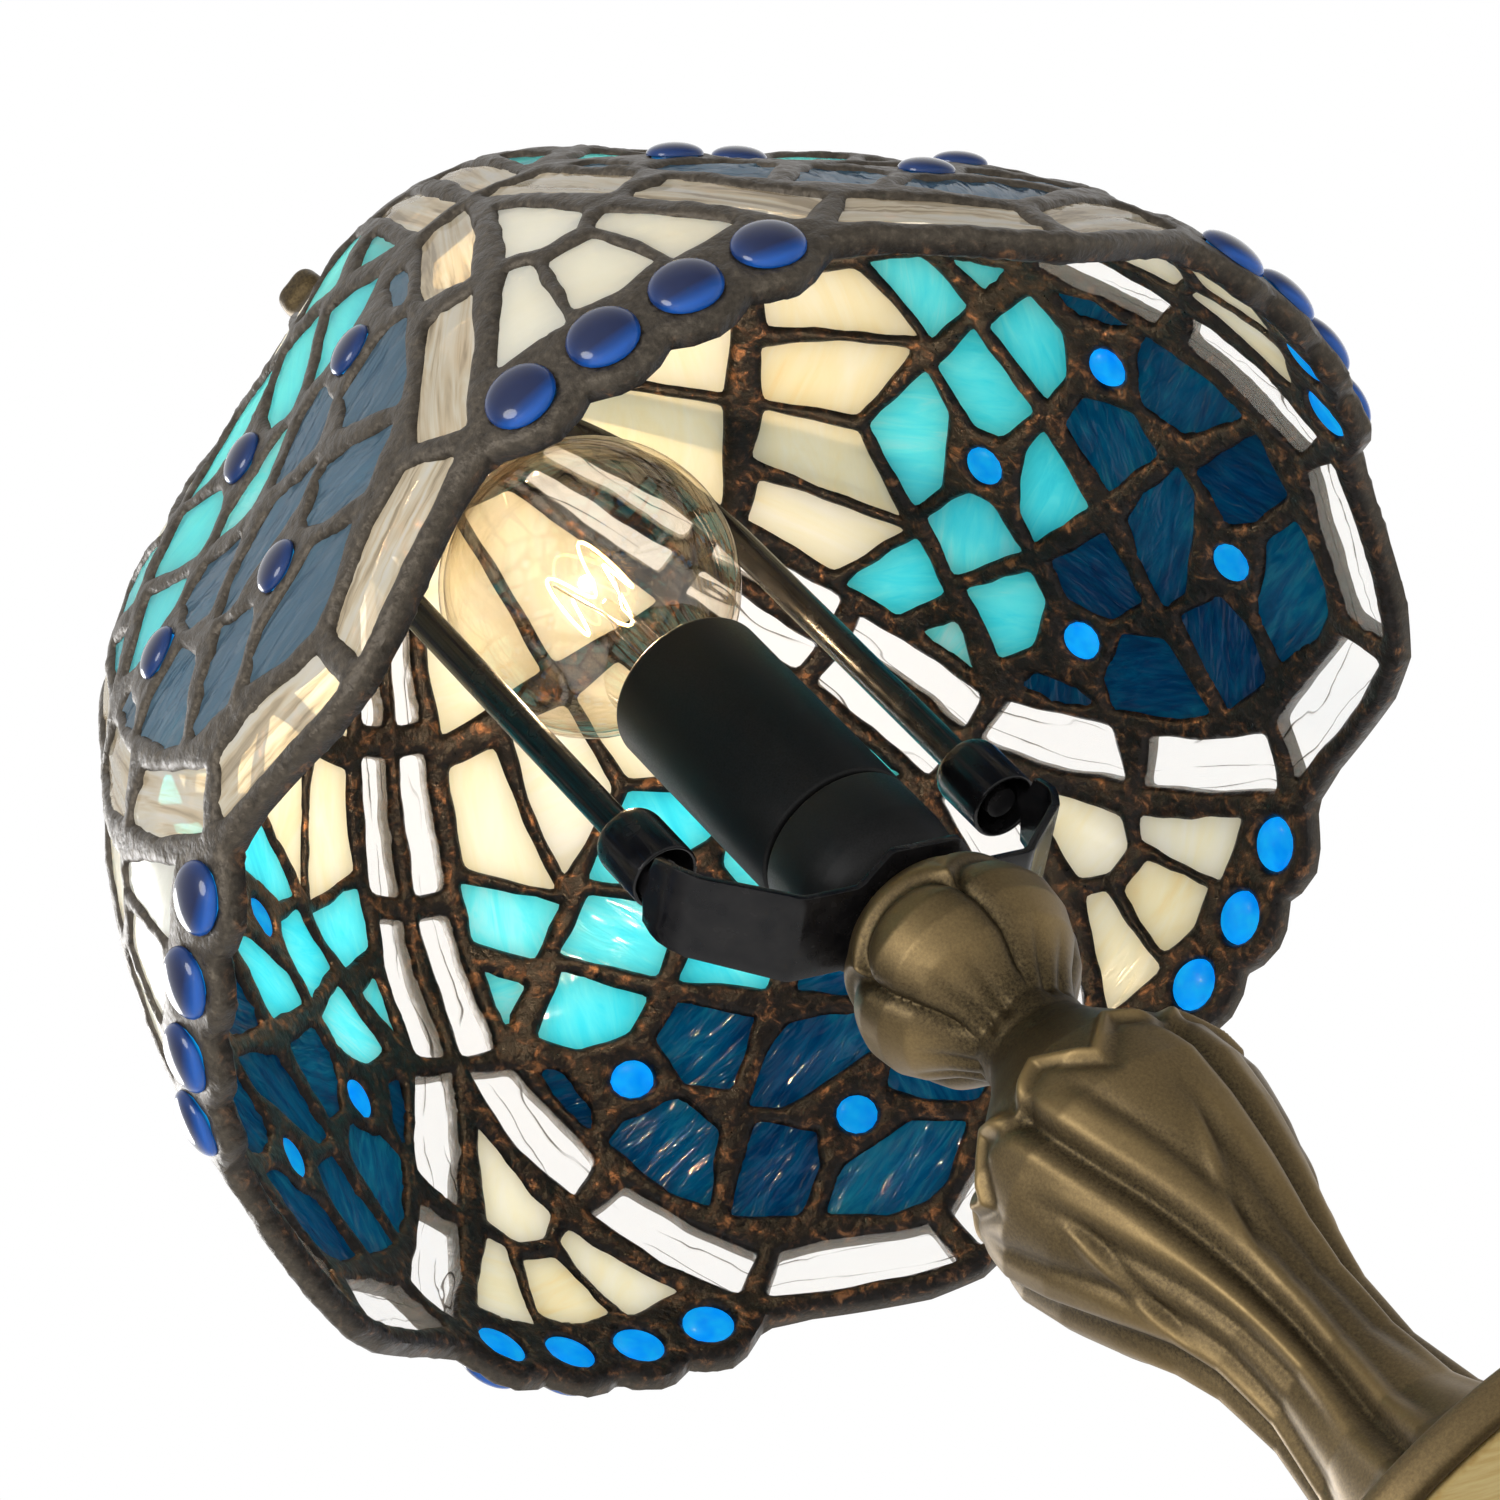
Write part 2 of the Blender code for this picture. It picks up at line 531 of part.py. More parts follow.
def bulb():
    """Clear globe bulb: hollow envelope, glass stem with its filament, screw base and contact."""
    steps = 9
    neck_radius, neck_z, wall = 8.4 * MM, 219.5 * MM, 0.8 * MM
    start = math.asin(9.6 * MM / BULB_RADIUS)
    angles = [start + (math.pi - start) * k / steps for k in range(steps + 1)]
    arc = [(BULB_RADIUS * math.sin(a), BULB_CENTRE - BULB_RADIUS * math.cos(a)) for a in reversed(angles)]
    inner = BULB_RADIUS - wall
    arc_in = [(inner * math.sin(a), BULB_CENTRE - inner * math.cos(a)) for a in angles]
    arc[0] = (0, BULB_CENTRE + BULB_RADIUS)
    arc_in[-1] = (0, BULB_CENTRE + inner)
    outline = arc + [(9.0 * MM, 231 * MM), (neck_radius, 227 * MM), (neck_radius, neck_z)]
    outline += [(neck_radius - wall, neck_z), (neck_radius - wall, 227 * MM), (8.2 * MM, 231.4 * MM)] + arc_in
    turned("bulb_envelope", outline, CLEAR_GLASS, steps=24)
    turned("bulb_stem", [
        (0, 262 * MM), (0.9 * MM, 261.6 * MM), (0.9 * MM, 252 * MM), (2.4 * MM, 250 * MM), (2.6 * MM, 240 * MM),
        (4.0 * MM, 230 * MM), (6.4 * MM, 221 * MM), (6.4 * MM, 219.8 * MM), (0, 219.8 * MM),
    ], CLEAR_GLASS, steps=20)
    turned("bulb_screw_base", [
        (9.4 * MM, 219.2 * MM), (9.4 * MM, 217.6 * MM), (6.7 * MM, 217.4 * MM), (6.7 * MM, 203 * MM),
        (3.4 * MM, 201.4 * MM), (3.4 * MM, 202.2 * MM), (6.1 * MM, 203.6 * MM), (6.1 * MM, 219.2 * MM),
    ], BRASS, steps=28)
    turned("bulb_contact", [
        (0, 202.8 * MM), (3.1 * MM, 202.8 * MM), (3.1 * MM, 200.6 * MM), (1.6 * MM, 199.9 * MM), (0, 199.9 * MM),
    ], BRASS, steps=20)


# ---------------------------------------------------------------- harp

def harp_points():
    """Centre line of the harp's wire: straight legs, then one round bow over the bulb."""
    rise = HARP_TOP - LEG_TOP
    points = [(LEG_X, LEG_BOTTOM), (LEG_X, (LEG_BOTTOM + LEG_TOP) / 2), (LEG_X, LEG_TOP)]
    for k in range(1, 12):
        a = math.pi / 2 * k / 12
        points.append((LEG_X * math.cos(a) ** 0.82, LEG_TOP + rise * math.sin(a) ** 0.94))
    return points + [(0.0, HARP_TOP)] + [(-x, z) for x, z in reversed(points)]


def harp():
    """Bent wire harp with the stud plate on top."""
    curve = bpy.data.curves.new("harp_bow", "CURVE")
    curve.dimensions = "3D"
    curve.bevel_depth = WIRE_RADIUS
    curve.bevel_resolution = 3
    curve.use_fill_caps = True
    points = harp_points()
    spline = curve.splines.new("POLY")
    spline.points.add(len(points) - 1)
    for target, (x, z) in zip(spline.points, points):
        target.co = (x, 0.0, z, 1.0)
    obj = bpy.data.objects.new("harp_bow", curve)
    PARTS.objects.link(obj)
    curve.materials.append(BLACK_METAL)
    plate = HARP_TOP + WIRE_RADIUS + GAP
    turned("harp_top_plate", [
        (0, CAP_UNDERSIDE + 12.5 * MM), (2.2 * MM, CAP_UNDERSIDE + 12.5 * MM),
        (2.9 * MM, CAP_UNDERSIDE + 11.6 * MM), (2.9 * MM, CAP_UNDERSIDE - GAP),
        (8.5 * MM, CAP_UNDERSIDE - GAP), (8.5 * MM, plate), (0, plate),
    ], BLACK_METAL, steps=24)


def saddle():
    """Bent sheet-metal strip under the socket, with an upright ear for each leg of the harp."""
    inner_ear = LEG_X + WIRE_RADIUS + GAP
    ear = inner_ear + SADDLE_THICKNESS / 2
    low = SADDLE_Z
    right = [
        (0.0, low, 12.2), (5.6 * MM, low, 12.2), (9.4 * MM, low, 7.4), (19.6 * MM, low, 7.0),
        (ear - 0.6 * MM, 181.6 * MM, 6.4), (ear, 183.4 * MM, 6.0), (ear, 185.8 * MM, 5.6),
        (ear, 187.0 * MM, 1.9), (ear, 196.5 * MM, 1.9),
    ]
    rows = [(-x, z, w) for x, z, w in reversed(right[1:])] + right
    bm = bmesh.new()
    grid = [[bm.verts.new((x, side * w * MM, z)) for side in (-1, 0, 1)] for x, z, w in rows]
    for a, b in zip(grid, grid[1:]):
        for k in (0, 1):
            bm.faces.new((a[k], b[k], b[k + 1], a[k + 1]))
    obj = add_object("harp_saddle", mesh_from(bm, "harp_saddle"), BLACK_METAL)
    solidify(obj, SADDLE_THICKNESS, 0.0)
    boolean(obj, "DIFFERENCE", cylinder("rod_hole", ROD_RADIUS + 0.3 * MM, low - 0.01, low + 0.01, segments=24))


def ferrules():
    """Sliding collars that lock the harp's legs to the saddle's ears."""
    low, high, r = FERRULE_BOTTOM, FERRULE_BOTTOM + FERRULE_LENGTH, FERRULE_RADIUS
    for name, side in (("ferrule_right", 1), ("ferrule_left", -1)):
        turned(name, [
            (3.6 * MM, high), (4.7 * MM, high - 0.5 * MM), (r, high - 1.8 * MM), (r, low), (r - 0.65 * MM, low),
            (r - 0.65 * MM, high - 1.6 * MM), (2.75 * MM, high - 1.1 * MM), (2.75 * MM, high),
        ], BLACK_METAL, steps=24, at=(side * LEG_X, 0.0))


base()
column_casting()
rod_and_nut()
saddle()
socket()
bulb()
harp()
ferrules()
lead_frame()
glass_panels()
jewel_strips()
shade_fittings()
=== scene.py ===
"""Stained-glass table lamp, seen from below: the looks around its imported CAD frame.

Each piece of glass is one closed slab that follows the lobed shade; the solder between them is one
beaded network. Outlines on the shade are (angle from the middle of a lobe in degrees, height above the
rim tips in millimetres). Everything else is turned, swept or lofted from the frame's own sizes.
"""

import math
import random

import bmesh
import bpy
import numpy as np
from mathutils import Matrix, Vector
from mathutils.geometry import delaunay_2d_cdt


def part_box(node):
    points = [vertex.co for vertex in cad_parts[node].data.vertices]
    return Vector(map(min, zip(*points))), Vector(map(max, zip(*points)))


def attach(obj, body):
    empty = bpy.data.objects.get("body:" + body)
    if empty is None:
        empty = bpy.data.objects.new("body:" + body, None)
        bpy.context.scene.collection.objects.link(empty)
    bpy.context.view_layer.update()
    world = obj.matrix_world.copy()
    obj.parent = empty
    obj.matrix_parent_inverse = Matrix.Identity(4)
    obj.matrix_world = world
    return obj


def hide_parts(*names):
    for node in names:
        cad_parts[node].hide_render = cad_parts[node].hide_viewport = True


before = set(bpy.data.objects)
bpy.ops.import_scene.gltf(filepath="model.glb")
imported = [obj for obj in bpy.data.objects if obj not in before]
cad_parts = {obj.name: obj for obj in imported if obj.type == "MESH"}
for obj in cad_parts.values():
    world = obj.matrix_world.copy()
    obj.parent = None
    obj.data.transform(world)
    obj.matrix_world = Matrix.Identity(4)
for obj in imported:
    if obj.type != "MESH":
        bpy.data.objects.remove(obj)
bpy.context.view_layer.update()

MM = 0.001
LOBES = 5
SECTOR = 360.0 / LOBES
SHADE_TURN = 63.5       # direction of the first lobe's middle, degrees
RIM_Z = 184.3           # height of the rim tips, mm

# height above the rim tips, radius at the middle of a lobe, share that a corner stands further out
SHADE_PROFILE = np.array((
    (0, 97.0, 0.00), (20, 94.0, 0.035), (35, 88.5, 0.07), (50, 81.5, 0.10), (65, 73.2, 0.125),
    (82, 65.0, 0.135), (96, 54.2, 0.125), (111, 38.4, 0.095), (119, 29.2, 0.065), (127, 18.0, 0.04),
))
# right-hand edge of a lobe's solder, then its lower edge: under the fan on its left, and round its tip
SEAM = (
    (36, 127), (36, 116), (36, 104), (36, 92), (36, 80), (36, 70), (35.6, 60.5), (33.1, 49),
    (31, 40.8), (29.4, 37.6), (27.3, 30.6), (22.2, 19), (20.4, 15.6), (19.4, 10.4),
)
JEWEL_EDGE = (
    (-49.5, 6.6), (-47.5, 5.2), (-45.0, 6.0), (-43.7, 7.2), (-41.5, 5.0), (-39.8, 4.4), (-37.6, 5.2),
    (-36, 6.8), (-34.4, 5.2), (-32.2, 4.4), (-30.5, 5.0), (-28.3, 7.2), (-27.0, 6.0), (-24.5, 5.2),
    (-22.5, 6.6),
)
TIP_EDGE = ((-19.4, 10.4), (-15, 8.6), (-10, 5.2), (-5, 1.8), (0, 0.2), (5, 1.8), (10, 5.2), (15, 8.6))

# right-hand pieces of one lobe, each mirrored to the left, and the right halves of the middle ones
CREAM_PAIRS = (
    ((1.6, 106), (25.2, 105.4), (24.4, 112), (21.5, 123), (2.2, 123.6)),
    ((1.2, 90.5), (13.5, 84.5), (14, 94.5), (12, 102.6), (1.2, 101.6)),
    ((16.3, 101.8), (25, 102.4), (26.5, 92), (15.5, 83.8)),
)
TURQUOISE_PAIRS = (
    ((15.5, 82), (25, 89.3), (27.5, 90.3), (28, 83), (21.5, 77)),
    ((24, 74.3), (28, 78.8), (28.3, 69.5)),
    ((5, 74), (12, 80.8), (18.5, 75.8), (10, 64.8), (5, 69.5)),
    ((12, 63.3), (19.3, 73.6), (25.3, 66.3), (21.5, 61.9), (15.5, 60.7)),
)
TURQUOISE_HALVES = (((0, 89.2), (11, 82.5), (6, 78)), ((0, 55.2), (8, 63), (4.5, 65.5)))
NAVY_PAIRS = (
    ((2.7, 52.8), (9.5, 60.4), (13.5, 58), (13.3, 50.5), (9.3, 46)),
    ((12.5, 42), (14.5, 49), (20.5, 50.3), (23.3, 48.3), (20, 37), (17.5, 32.2)),
    ((4.2, 34), (9, 40.2), (16.3, 29.7), (10.5, 24.3), (6, 29.5)),
    ((23.3, 54), (24.5, 60.8), (26.6, 61.8), (26, 56), (24, 50.8)),
)
NAVY_HALVES = (
    ((0, 49.8), (4.2, 47.3), (8.8, 42.8), (6, 39.6)), ((0, 15.4), (3, 16.5), (8.3, 22.7), (4, 27.7)),
)
CLEAR_PAIRS = (
    ((1.2, 3.6), (1.3, 11.8), (8.5, 17.7), (14.3, 20.7), (17.8, 14), (13, 10.6), (7, 6.6)),
    ((16, 22), (20.3, 32), (23.7, 41), (28.3, 38.8), (24.6, 27.4), (20, 16.7)),
    ((25, 46.8), (27, 55), (29.3, 63.3), (35, 64.3), (32.3, 51.3), (29, 42)),
    ((30.5, 66.8), (30.3, 79), (30.7, 87.3), (34.8, 87.3), (34.9, 66.8)),
    ((29.9, 90), (29.3, 104.3), (34.6, 104.3), (34.7, 90)),
    ((29.2, 107.3), (27.7, 122.6), (34.0, 122.6), (34.4, 107.3)),
)
# pieces of the fan, measured from the corner between two lobes; the first is mirrored
FAN_PAIR = ((11.3, 21), (4.7, 37.3), (3, 35.2), (5, 18.9))
FAN_MIDDLE = (
    ((0, 56.2), (3.8, 40), (1.5, 36.2), (-1.5, 36.2), (-3.8, 40)),
    ((3.8, 20.5), (2, 32.7), (-2, 32.7), (-3.8, 20.5), (0, 18.6)),
)
# angle, height and radius of the round jewels: in the oval, and under the fan
OVAL_JEWELS = ((0, 71.5, 3.2), (17.8, 54.8, 3.2), (-17.8, 54.8, 3.2), (0, 33, 3.2))
FAN_JEWELS = ((-11.5, 12.9, 4.1), (-3.8, 12.1, 4.1), (3.8, 12.1, 4.1), (11.5, 12.9, 4.1))

GLASS_HALF = 1.25       # half the thickness of the glass, mm
LEAD_EDGE = 1.32        # how far the solder stands from the middle surface where it meets the glass
LEAD_RISE = 0.75        # how much higher its ridge is
BEAD_WIDTH = 1.7        # distance from the glass over which the ridge rises
TUCK = 0.55             # how far the glass reaches under the solder
WELD = 0.005 * MM       # vertices nearer than this are joined


# ---------------------------------------------------------------- shade surface

def profile_value(height, column):
    """The value in a column of SHADE_PROFILE at each height, on a smooth curve through the rows."""
    rows = SHADE_PROFILE
    last = len(rows) - 2
    i = np.clip(np.searchsorted(rows[:, 0], height) - 1, 0, last)
    before, after = np.maximum(i - 1, 0), np.minimum(i + 2, last + 1)
    span = rows[i + 1, 0] - rows[i, 0]
    t = (height - rows[i, 0]) / span
    v0, v1 = rows[i, column], rows[i + 1, column]
    s0 = (v1 - rows[before, column]) / (rows[i + 1, 0] - rows[before, 0]) * span
    s1 = (rows[after, column] - v0) / (rows[after, 0] - rows[i, 0]) * span
    return (2*t**3 - 3*t**2 + 1) * v0 + (t**3 - 2*t**2 + t) * s0 + (3*t**2 - 2*t**3) * v1 + (t**3 - t**2) * s1


def shade_place(angle, height):
    """Points of the shade's middle surface in millimetres."""
    swell = (1 - np.cos(np.radians(LOBES * angle))) / 2
    radius = profile_value(height, 1) * (1 + profile_value(height, 2) * swell)
    a = np.radians(angle)
    return np.stack((radius * np.cos(a), radius * np.sin(a), RIM_Z + height), axis=-1)


def shade_frame(angle, height):
    """Points of the middle surface and its outward normals, for arrays of angles and heights."""
    angle, height = np.asarray(angle, float), np.asarray(height, float)
    along = shade_place(angle + 0.4, height) - shade_place(angle - 0.4, height)
    up = shade_place(angle, height + 0.4) - shade_place(angle, height - 0.4)
    normal = np.cross(along, up)
    return shade_place(angle, height), normal / np.linalg.norm(normal, axis=-1, keepdims=True)


# at each of HEIGHTS, the distance up the surface and the length of one degree around it
HEIGHTS = np.linspace(-2, 129, 263)
RADII = profile_value(HEIGHTS, 1)
ARC = np.concatenate(([0], np.cumsum(np.hypot(np.diff(HEIGHTS), np.diff(RADII)))))
DEGREE = RADII * math.pi / 180


def flatten(points):
    """(angle, height) points laid flat in millimetres."""
    points = np.asarray(points, float)
    return np.stack((points[:, 0] * np.interp(points[:, 1], HEIGHTS, DEGREE),
                     np.interp(points[:, 1], HEIGHTS, ARC)), axis=-1)


def unflatten(flat):
    """The angles and heights of points laid flat."""
    height = np.interp(flat[:, 1], ARC, HEIGHTS)
    return flat[:, 0] / np.interp(height, HEIGHTS, DEGREE), height


# ---------------------------------------------------------------- outlines in the flat

def divide(points, step, closed=True):
    """Adds points along the edges so that none is longer than step."""
    points = np.asarray(points, float)
    ends = np.roll(points, -1, axis=0) if closed else points[1:]
    result = []
    for a, b in zip(points, ends):
        count = max(1, math.ceil(np.linalg.norm(b - a) / step))
        result += [a + (b - a) * k / count for k in range(count)]
    if not closed:
        result.append(points[-1])
    return np.array(result)


def round_corners(points, cut):
    """Cuts each corner at the distance cut along its edges, with one point between."""
    result = []
    for before, here, after in zip(np.roll(points, 1, axis=0), points, np.roll(points, -1, axis=0)):
        a, b = before - here, after - here
        la, lb = np.linalg.norm(a), np.linalg.norm(b)
        start, end = here + a * min(cut / la, 0.3), here + b * min(cut / lb, 0.3)
        result += [start, here * 0.5 + (start + end) * 0.25, end]
    return np.array(result)


def signed_area(points):
    nxt = np.roll(points, -1, axis=0)
    return 0.5 * np.sum(points[:, 0] * nxt[:, 1] - nxt[:, 0] * points[:, 1])


def grow(points, distance):
    """The closed outline moved outwards by distance."""
    side = 1 if signed_area(points) > 0 else -1
    ahead = np.roll(points, -1, axis=0) - points
    ahead /= np.maximum(np.linalg.norm(ahead, axis=1, keepdims=True), 1e-9)
    normal = np.stack((ahead[:, 1], -ahead[:, 0]), axis=-1) * side
    both = normal + np.roll(normal, 1, axis=0)
    scale = np.maximum(0.5, np.sum(both * normal, axis=1, keepdims=True))
    return points + both * distance / scale


def wobble(points, rng, size):
    """Hand-cut edges: shifts the points by a smooth random wave."""
    phases = [rng.uniform(0, 2 * math.pi) for _ in range(4)]
    s = np.cumsum(np.linalg.norm(np.roll(points, -1, axis=0) - points, axis=1))
    turn = 2 * math.pi * s / s[-1]
    waves = np.stack((np.sin(3 * turn + phases[0]) + 0.6 * np.sin(8 * turn + phases[1]),
                      np.sin(4 * turn + phases[2]) + 0.6 * np.sin(7 * turn + phases[3])), axis=-1)
    return points + waves * size


def circle(angle, height, radius, count=18):
    """A circle on the shade's surface, flat."""
    centre = flatten([(angle, height)])[0]
    a = np.linspace(0, 2 * math.pi, count, endpoint=False)
    return centre + radius * np.stack((np.cos(a), np.sin(a)), axis=-1)


def inside(spots, starts, ends):
    """Even-odd test of spots against all edges at once."""
    result = np.zeros(len(spots), bool)
    for (x0, y0), (x1, y1) in zip(starts, ends):
        if y0 == y1:
            continue
        crosses = (y0 > spots[:, 1]) != (y1 > spots[:, 1])
        result ^= crosses & (spots[:, 0] < x0 + (x1 - x0) * (spots[:, 1] - y0) / (y1 - y0))
    return result


def edge_distance(spots, starts, ends):
    """Distance from each spot to the nearest edge."""
    run = ends - starts
    length = np.maximum(np.sum(run * run, axis=1), 1e-12)
    nearest = np.empty(len(spots))
    for first in range(0, len(spots), 256):
        gap = spots[first:first + 256, None, :] - starts[None]
        t = np.clip(np.sum(gap * run, axis=2) / length, 0, 1)
        gap -= t[:, :, None] * run
        nearest[first:first + 256] = np.sqrt(np.min(np.sum(gap * gap, axis=2), axis=1))
    return nearest


def grid_points(low, high, step):
    xs, ys = np.arange(low[0], high[0], step), np.arange(low[1], high[1], step * 0.87)
    x, y = np.meshgrid(xs, ys)
    x[1::2] += step / 2
    return np.stack((x.ravel(), y.ravel()), axis=-1)


def triangulate(loops, extra):
    """Triangles of the area inside an odd number of loops; extra points are placed inside it."""
    starts = np.concatenate(loops)
    ends = np.concatenate([np.roll(loop, -1, axis=0) for loop in loops])
    points, edges, base = [], [], 0
    for loop in loops:
        points += [Vector(p) for p in loop]
        edges += [(base + k, base + (k + 1) % len(loop)) for k in range(len(loop))]
        base += len(loop)
    points += [Vector(p) for p in extra]
    verts, _, faces, *_ = delaunay_2d_cdt(points, edges, [], 0, 1e-5)
    verts = np.array([tuple(v) for v in verts])
    faces = np.array(faces)
    keep = inside(verts[faces].mean(axis=1), starts, ends)
    return verts, faces[keep], starts, ends


# ---------------------------------------------------------------- meshes

class Mesh:
    """Collects slabs, and makes one object of them with its per-vertex attributes."""

    def __init__(self):
        self.verts, self.faces, self.grain, self.tint, self.count = [], [], [], [], 0

    def slab(self, flat, faces, outer, inner, turn, grain=None, tint=0.5, open_edges=()):
        """A closed slab between the offsets outer and inner (mm) from the shade's middle surface.

        The attribute tint holds the slab's own tint in its first channel, and 1 on its outer side in its
        second. Walls are left out along open_edges, where the slab meets its neighbour."""
        angle, height = unflatten(flat)
        place, normal = shade_frame(angle, height)
        n = len(flat)
        outer, inner = np.broadcast_to(outer, n), np.broadcast_to(inner, n)
        verts = np.concatenate((place + normal * outer[:, None], place + normal * inner[:, None]))
        a = math.radians(turn)
        spin = np.array(((math.cos(a), math.sin(a), 0), (-math.sin(a), math.cos(a), 0), (0, 0, 1)))
        tri = flat[faces]
        area = np.cross(tri[:, 1] - tri[:, 0], tri[:, 2] - tri[:, 0])
        faces = np.where(area[:, None] > 0, faces, faces[:, ::-1])
        sides = ((0, 1), (1, 2), (2, 0))
        directed = dict.fromkeys((int(f[i]), int(f[j])) for f in faces for i, j in sides)
        walls = [(i, j) for i, j in directed if (j, i) not in directed]
        base = self.count
        self.faces += [tuple(int(v) + base for v in f) for f in faces]
        self.faces += [tuple(int(v) + n + base for v in f[::-1]) for f in faces]
        for i, j in walls:
            if not (i in open_edges and j in open_edges):
                self.faces.append((j + base, i + base, i + n + base, j + n + base))
        self.verts.append(verts @ spin * MM)
        grain = np.zeros((n, 3)) if grain is None else grain
        self.grain.append(np.concatenate((grain, grain)))
        colour = np.tile(np.array((tint, 0.0, 0.0, 1.0)), (2 * n, 1))
        colour[:n, 1] = 1.0
        self.tint.append(colour)
        self.count += 2 * n

    def make(self, name, mat, body="shade", sharp=50.0, weld=False):
        mesh = bpy.data.meshes.new(name)
        mesh.from_pydata(np.concatenate(self.verts).tolist(), [], self.faces)
        layer = mesh.attributes.new("grain", "FLOAT_VECTOR", "POINT")
        layer.data.foreach_set("vector", np.concatenate(self.grain).astype(np.float32).ravel())
        layer = mesh.attributes.new("tint", "FLOAT_COLOR", "POINT")
        layer.data.foreach_set("color", np.concatenate(self.tint).astype(np.float32).ravel())
        if weld:
            bm = bmesh.new()
            bm.from_mesh(mesh)
            bmesh.ops.remove_doubles(bm, verts=bm.verts[:], dist=WELD)
            loose = [v for v in bm.verts if not v.link_faces]
            bmesh.ops.delete(bm, geom=loose, context="VERTS")
            bm.to_mesh(mesh)
            bm.free()
        return finish_mesh(name, mesh, mat, body, sharp)


def new_object(name, data):
    obj = bpy.data.objects.new(name, data)
    bpy.context.scene.collection.objects.link(obj)
    return obj


def finish_mesh(name, mesh, mat, body, sharp=40.0):
    """Makes the mesh an object that rides on body, smooth but for edges above sharp degrees."""
    mesh.shade_smooth()
    mesh.set_sharp_from_angle(angle=math.radians(sharp))
    mesh.materials.append(mat)
    obj = new_object(name, mesh)
    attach(obj, body)
    return obj


def finish_bmesh(name, bm, mat, body, sharp=40.0):
    """Turns a closed bmesh into an object, with its normals outwards."""
    bmesh.ops.recalc_face_normals(bm, faces=bm.faces[:])
    mesh = bpy.data.meshes.new(name)
    bm.to_mesh(mesh)
    bm.free()
    return finish_mesh(name, mesh, mat, body, sharp)


def turned(name, profile, mat, body, steps=72, at=(0.0, 0.0), round_steps=2, cut=0.35):
    """Solid of revolution from (radius, height) points in mm; corners off the axis are rounded."""
    closed = all(r > 0 for r, _ in profile)
    points = [np.array(p, float) for p in profile]
    for _ in range(round_steps):
        result = []
        for i, here in enumerate(points):
            if not closed and i in (0, len(points) - 1):
                result.append(here)
                continue
            a, b = points[i - 1] - here, points[(i + 1) % len(points)] - here
            la, lb = np.linalg.norm(a), np.linalg.norm(b)
            result += [here + a * min(cut / la, 0.3), here + b * min(cut / lb, 0.3)]
        points, cut = result, cut * 0.4
    bm = bmesh.new()
    rings = []
    for radius, height in points:
        if radius < 1e-6:
            rings.append([bm.verts.new((at[0], at[1], height * MM))])
            continue
        ring = []
        for k in range(steps):
            a = 2 * math.pi * k / steps
            x, y = at[0] + radius * math.cos(a) * MM, at[1] + radius * math.sin(a) * MM
            ring.append(bm.verts.new((x, y, height * MM)))
        rings.append(ring)
    pairs = list(zip(rings, rings[1:])) + ([(rings[-1], rings[0])] if closed else [])
    for first, second in pairs:
        for k in range(steps):
            m = (k + 1) % steps
            around = ((first, k), (first, m), (second, m), (second, k))
            corners = list(dict.fromkeys(ring[i % len(ring)] for ring, i in around))
            if len(corners) > 2:
                bm.faces.new(corners)
    return finish_bmesh(name, bm, mat, body)


# ---------------------------------------------------------------- materials

class Nodes:
    """Short ways to add nodes to a tree. An argument is another node's output, or a value."""

    def __init__(self, tree):
        self.tree = tree

    def link(self, source, target):
        self.tree.links.new(source, target)

    def put(self, value, socket):
        if hasattr(value, "is_linked"):
            self.link(value, socket)
        else:
            socket.default_value = value

    def node(self, kind, **inputs):
        node = self.tree.nodes.new(kind)
        for key, value in inputs.items():
            self.put(value, node.inputs[key.replace("_", " ")])
        return node

    def math(self, operation, *values):
        node = self.tree.nodes.new("ShaderNodeMath")
        node.operation = operation
        for socket, value in zip(node.inputs, values):
            self.put(value, socket)
        return node.outputs[0]


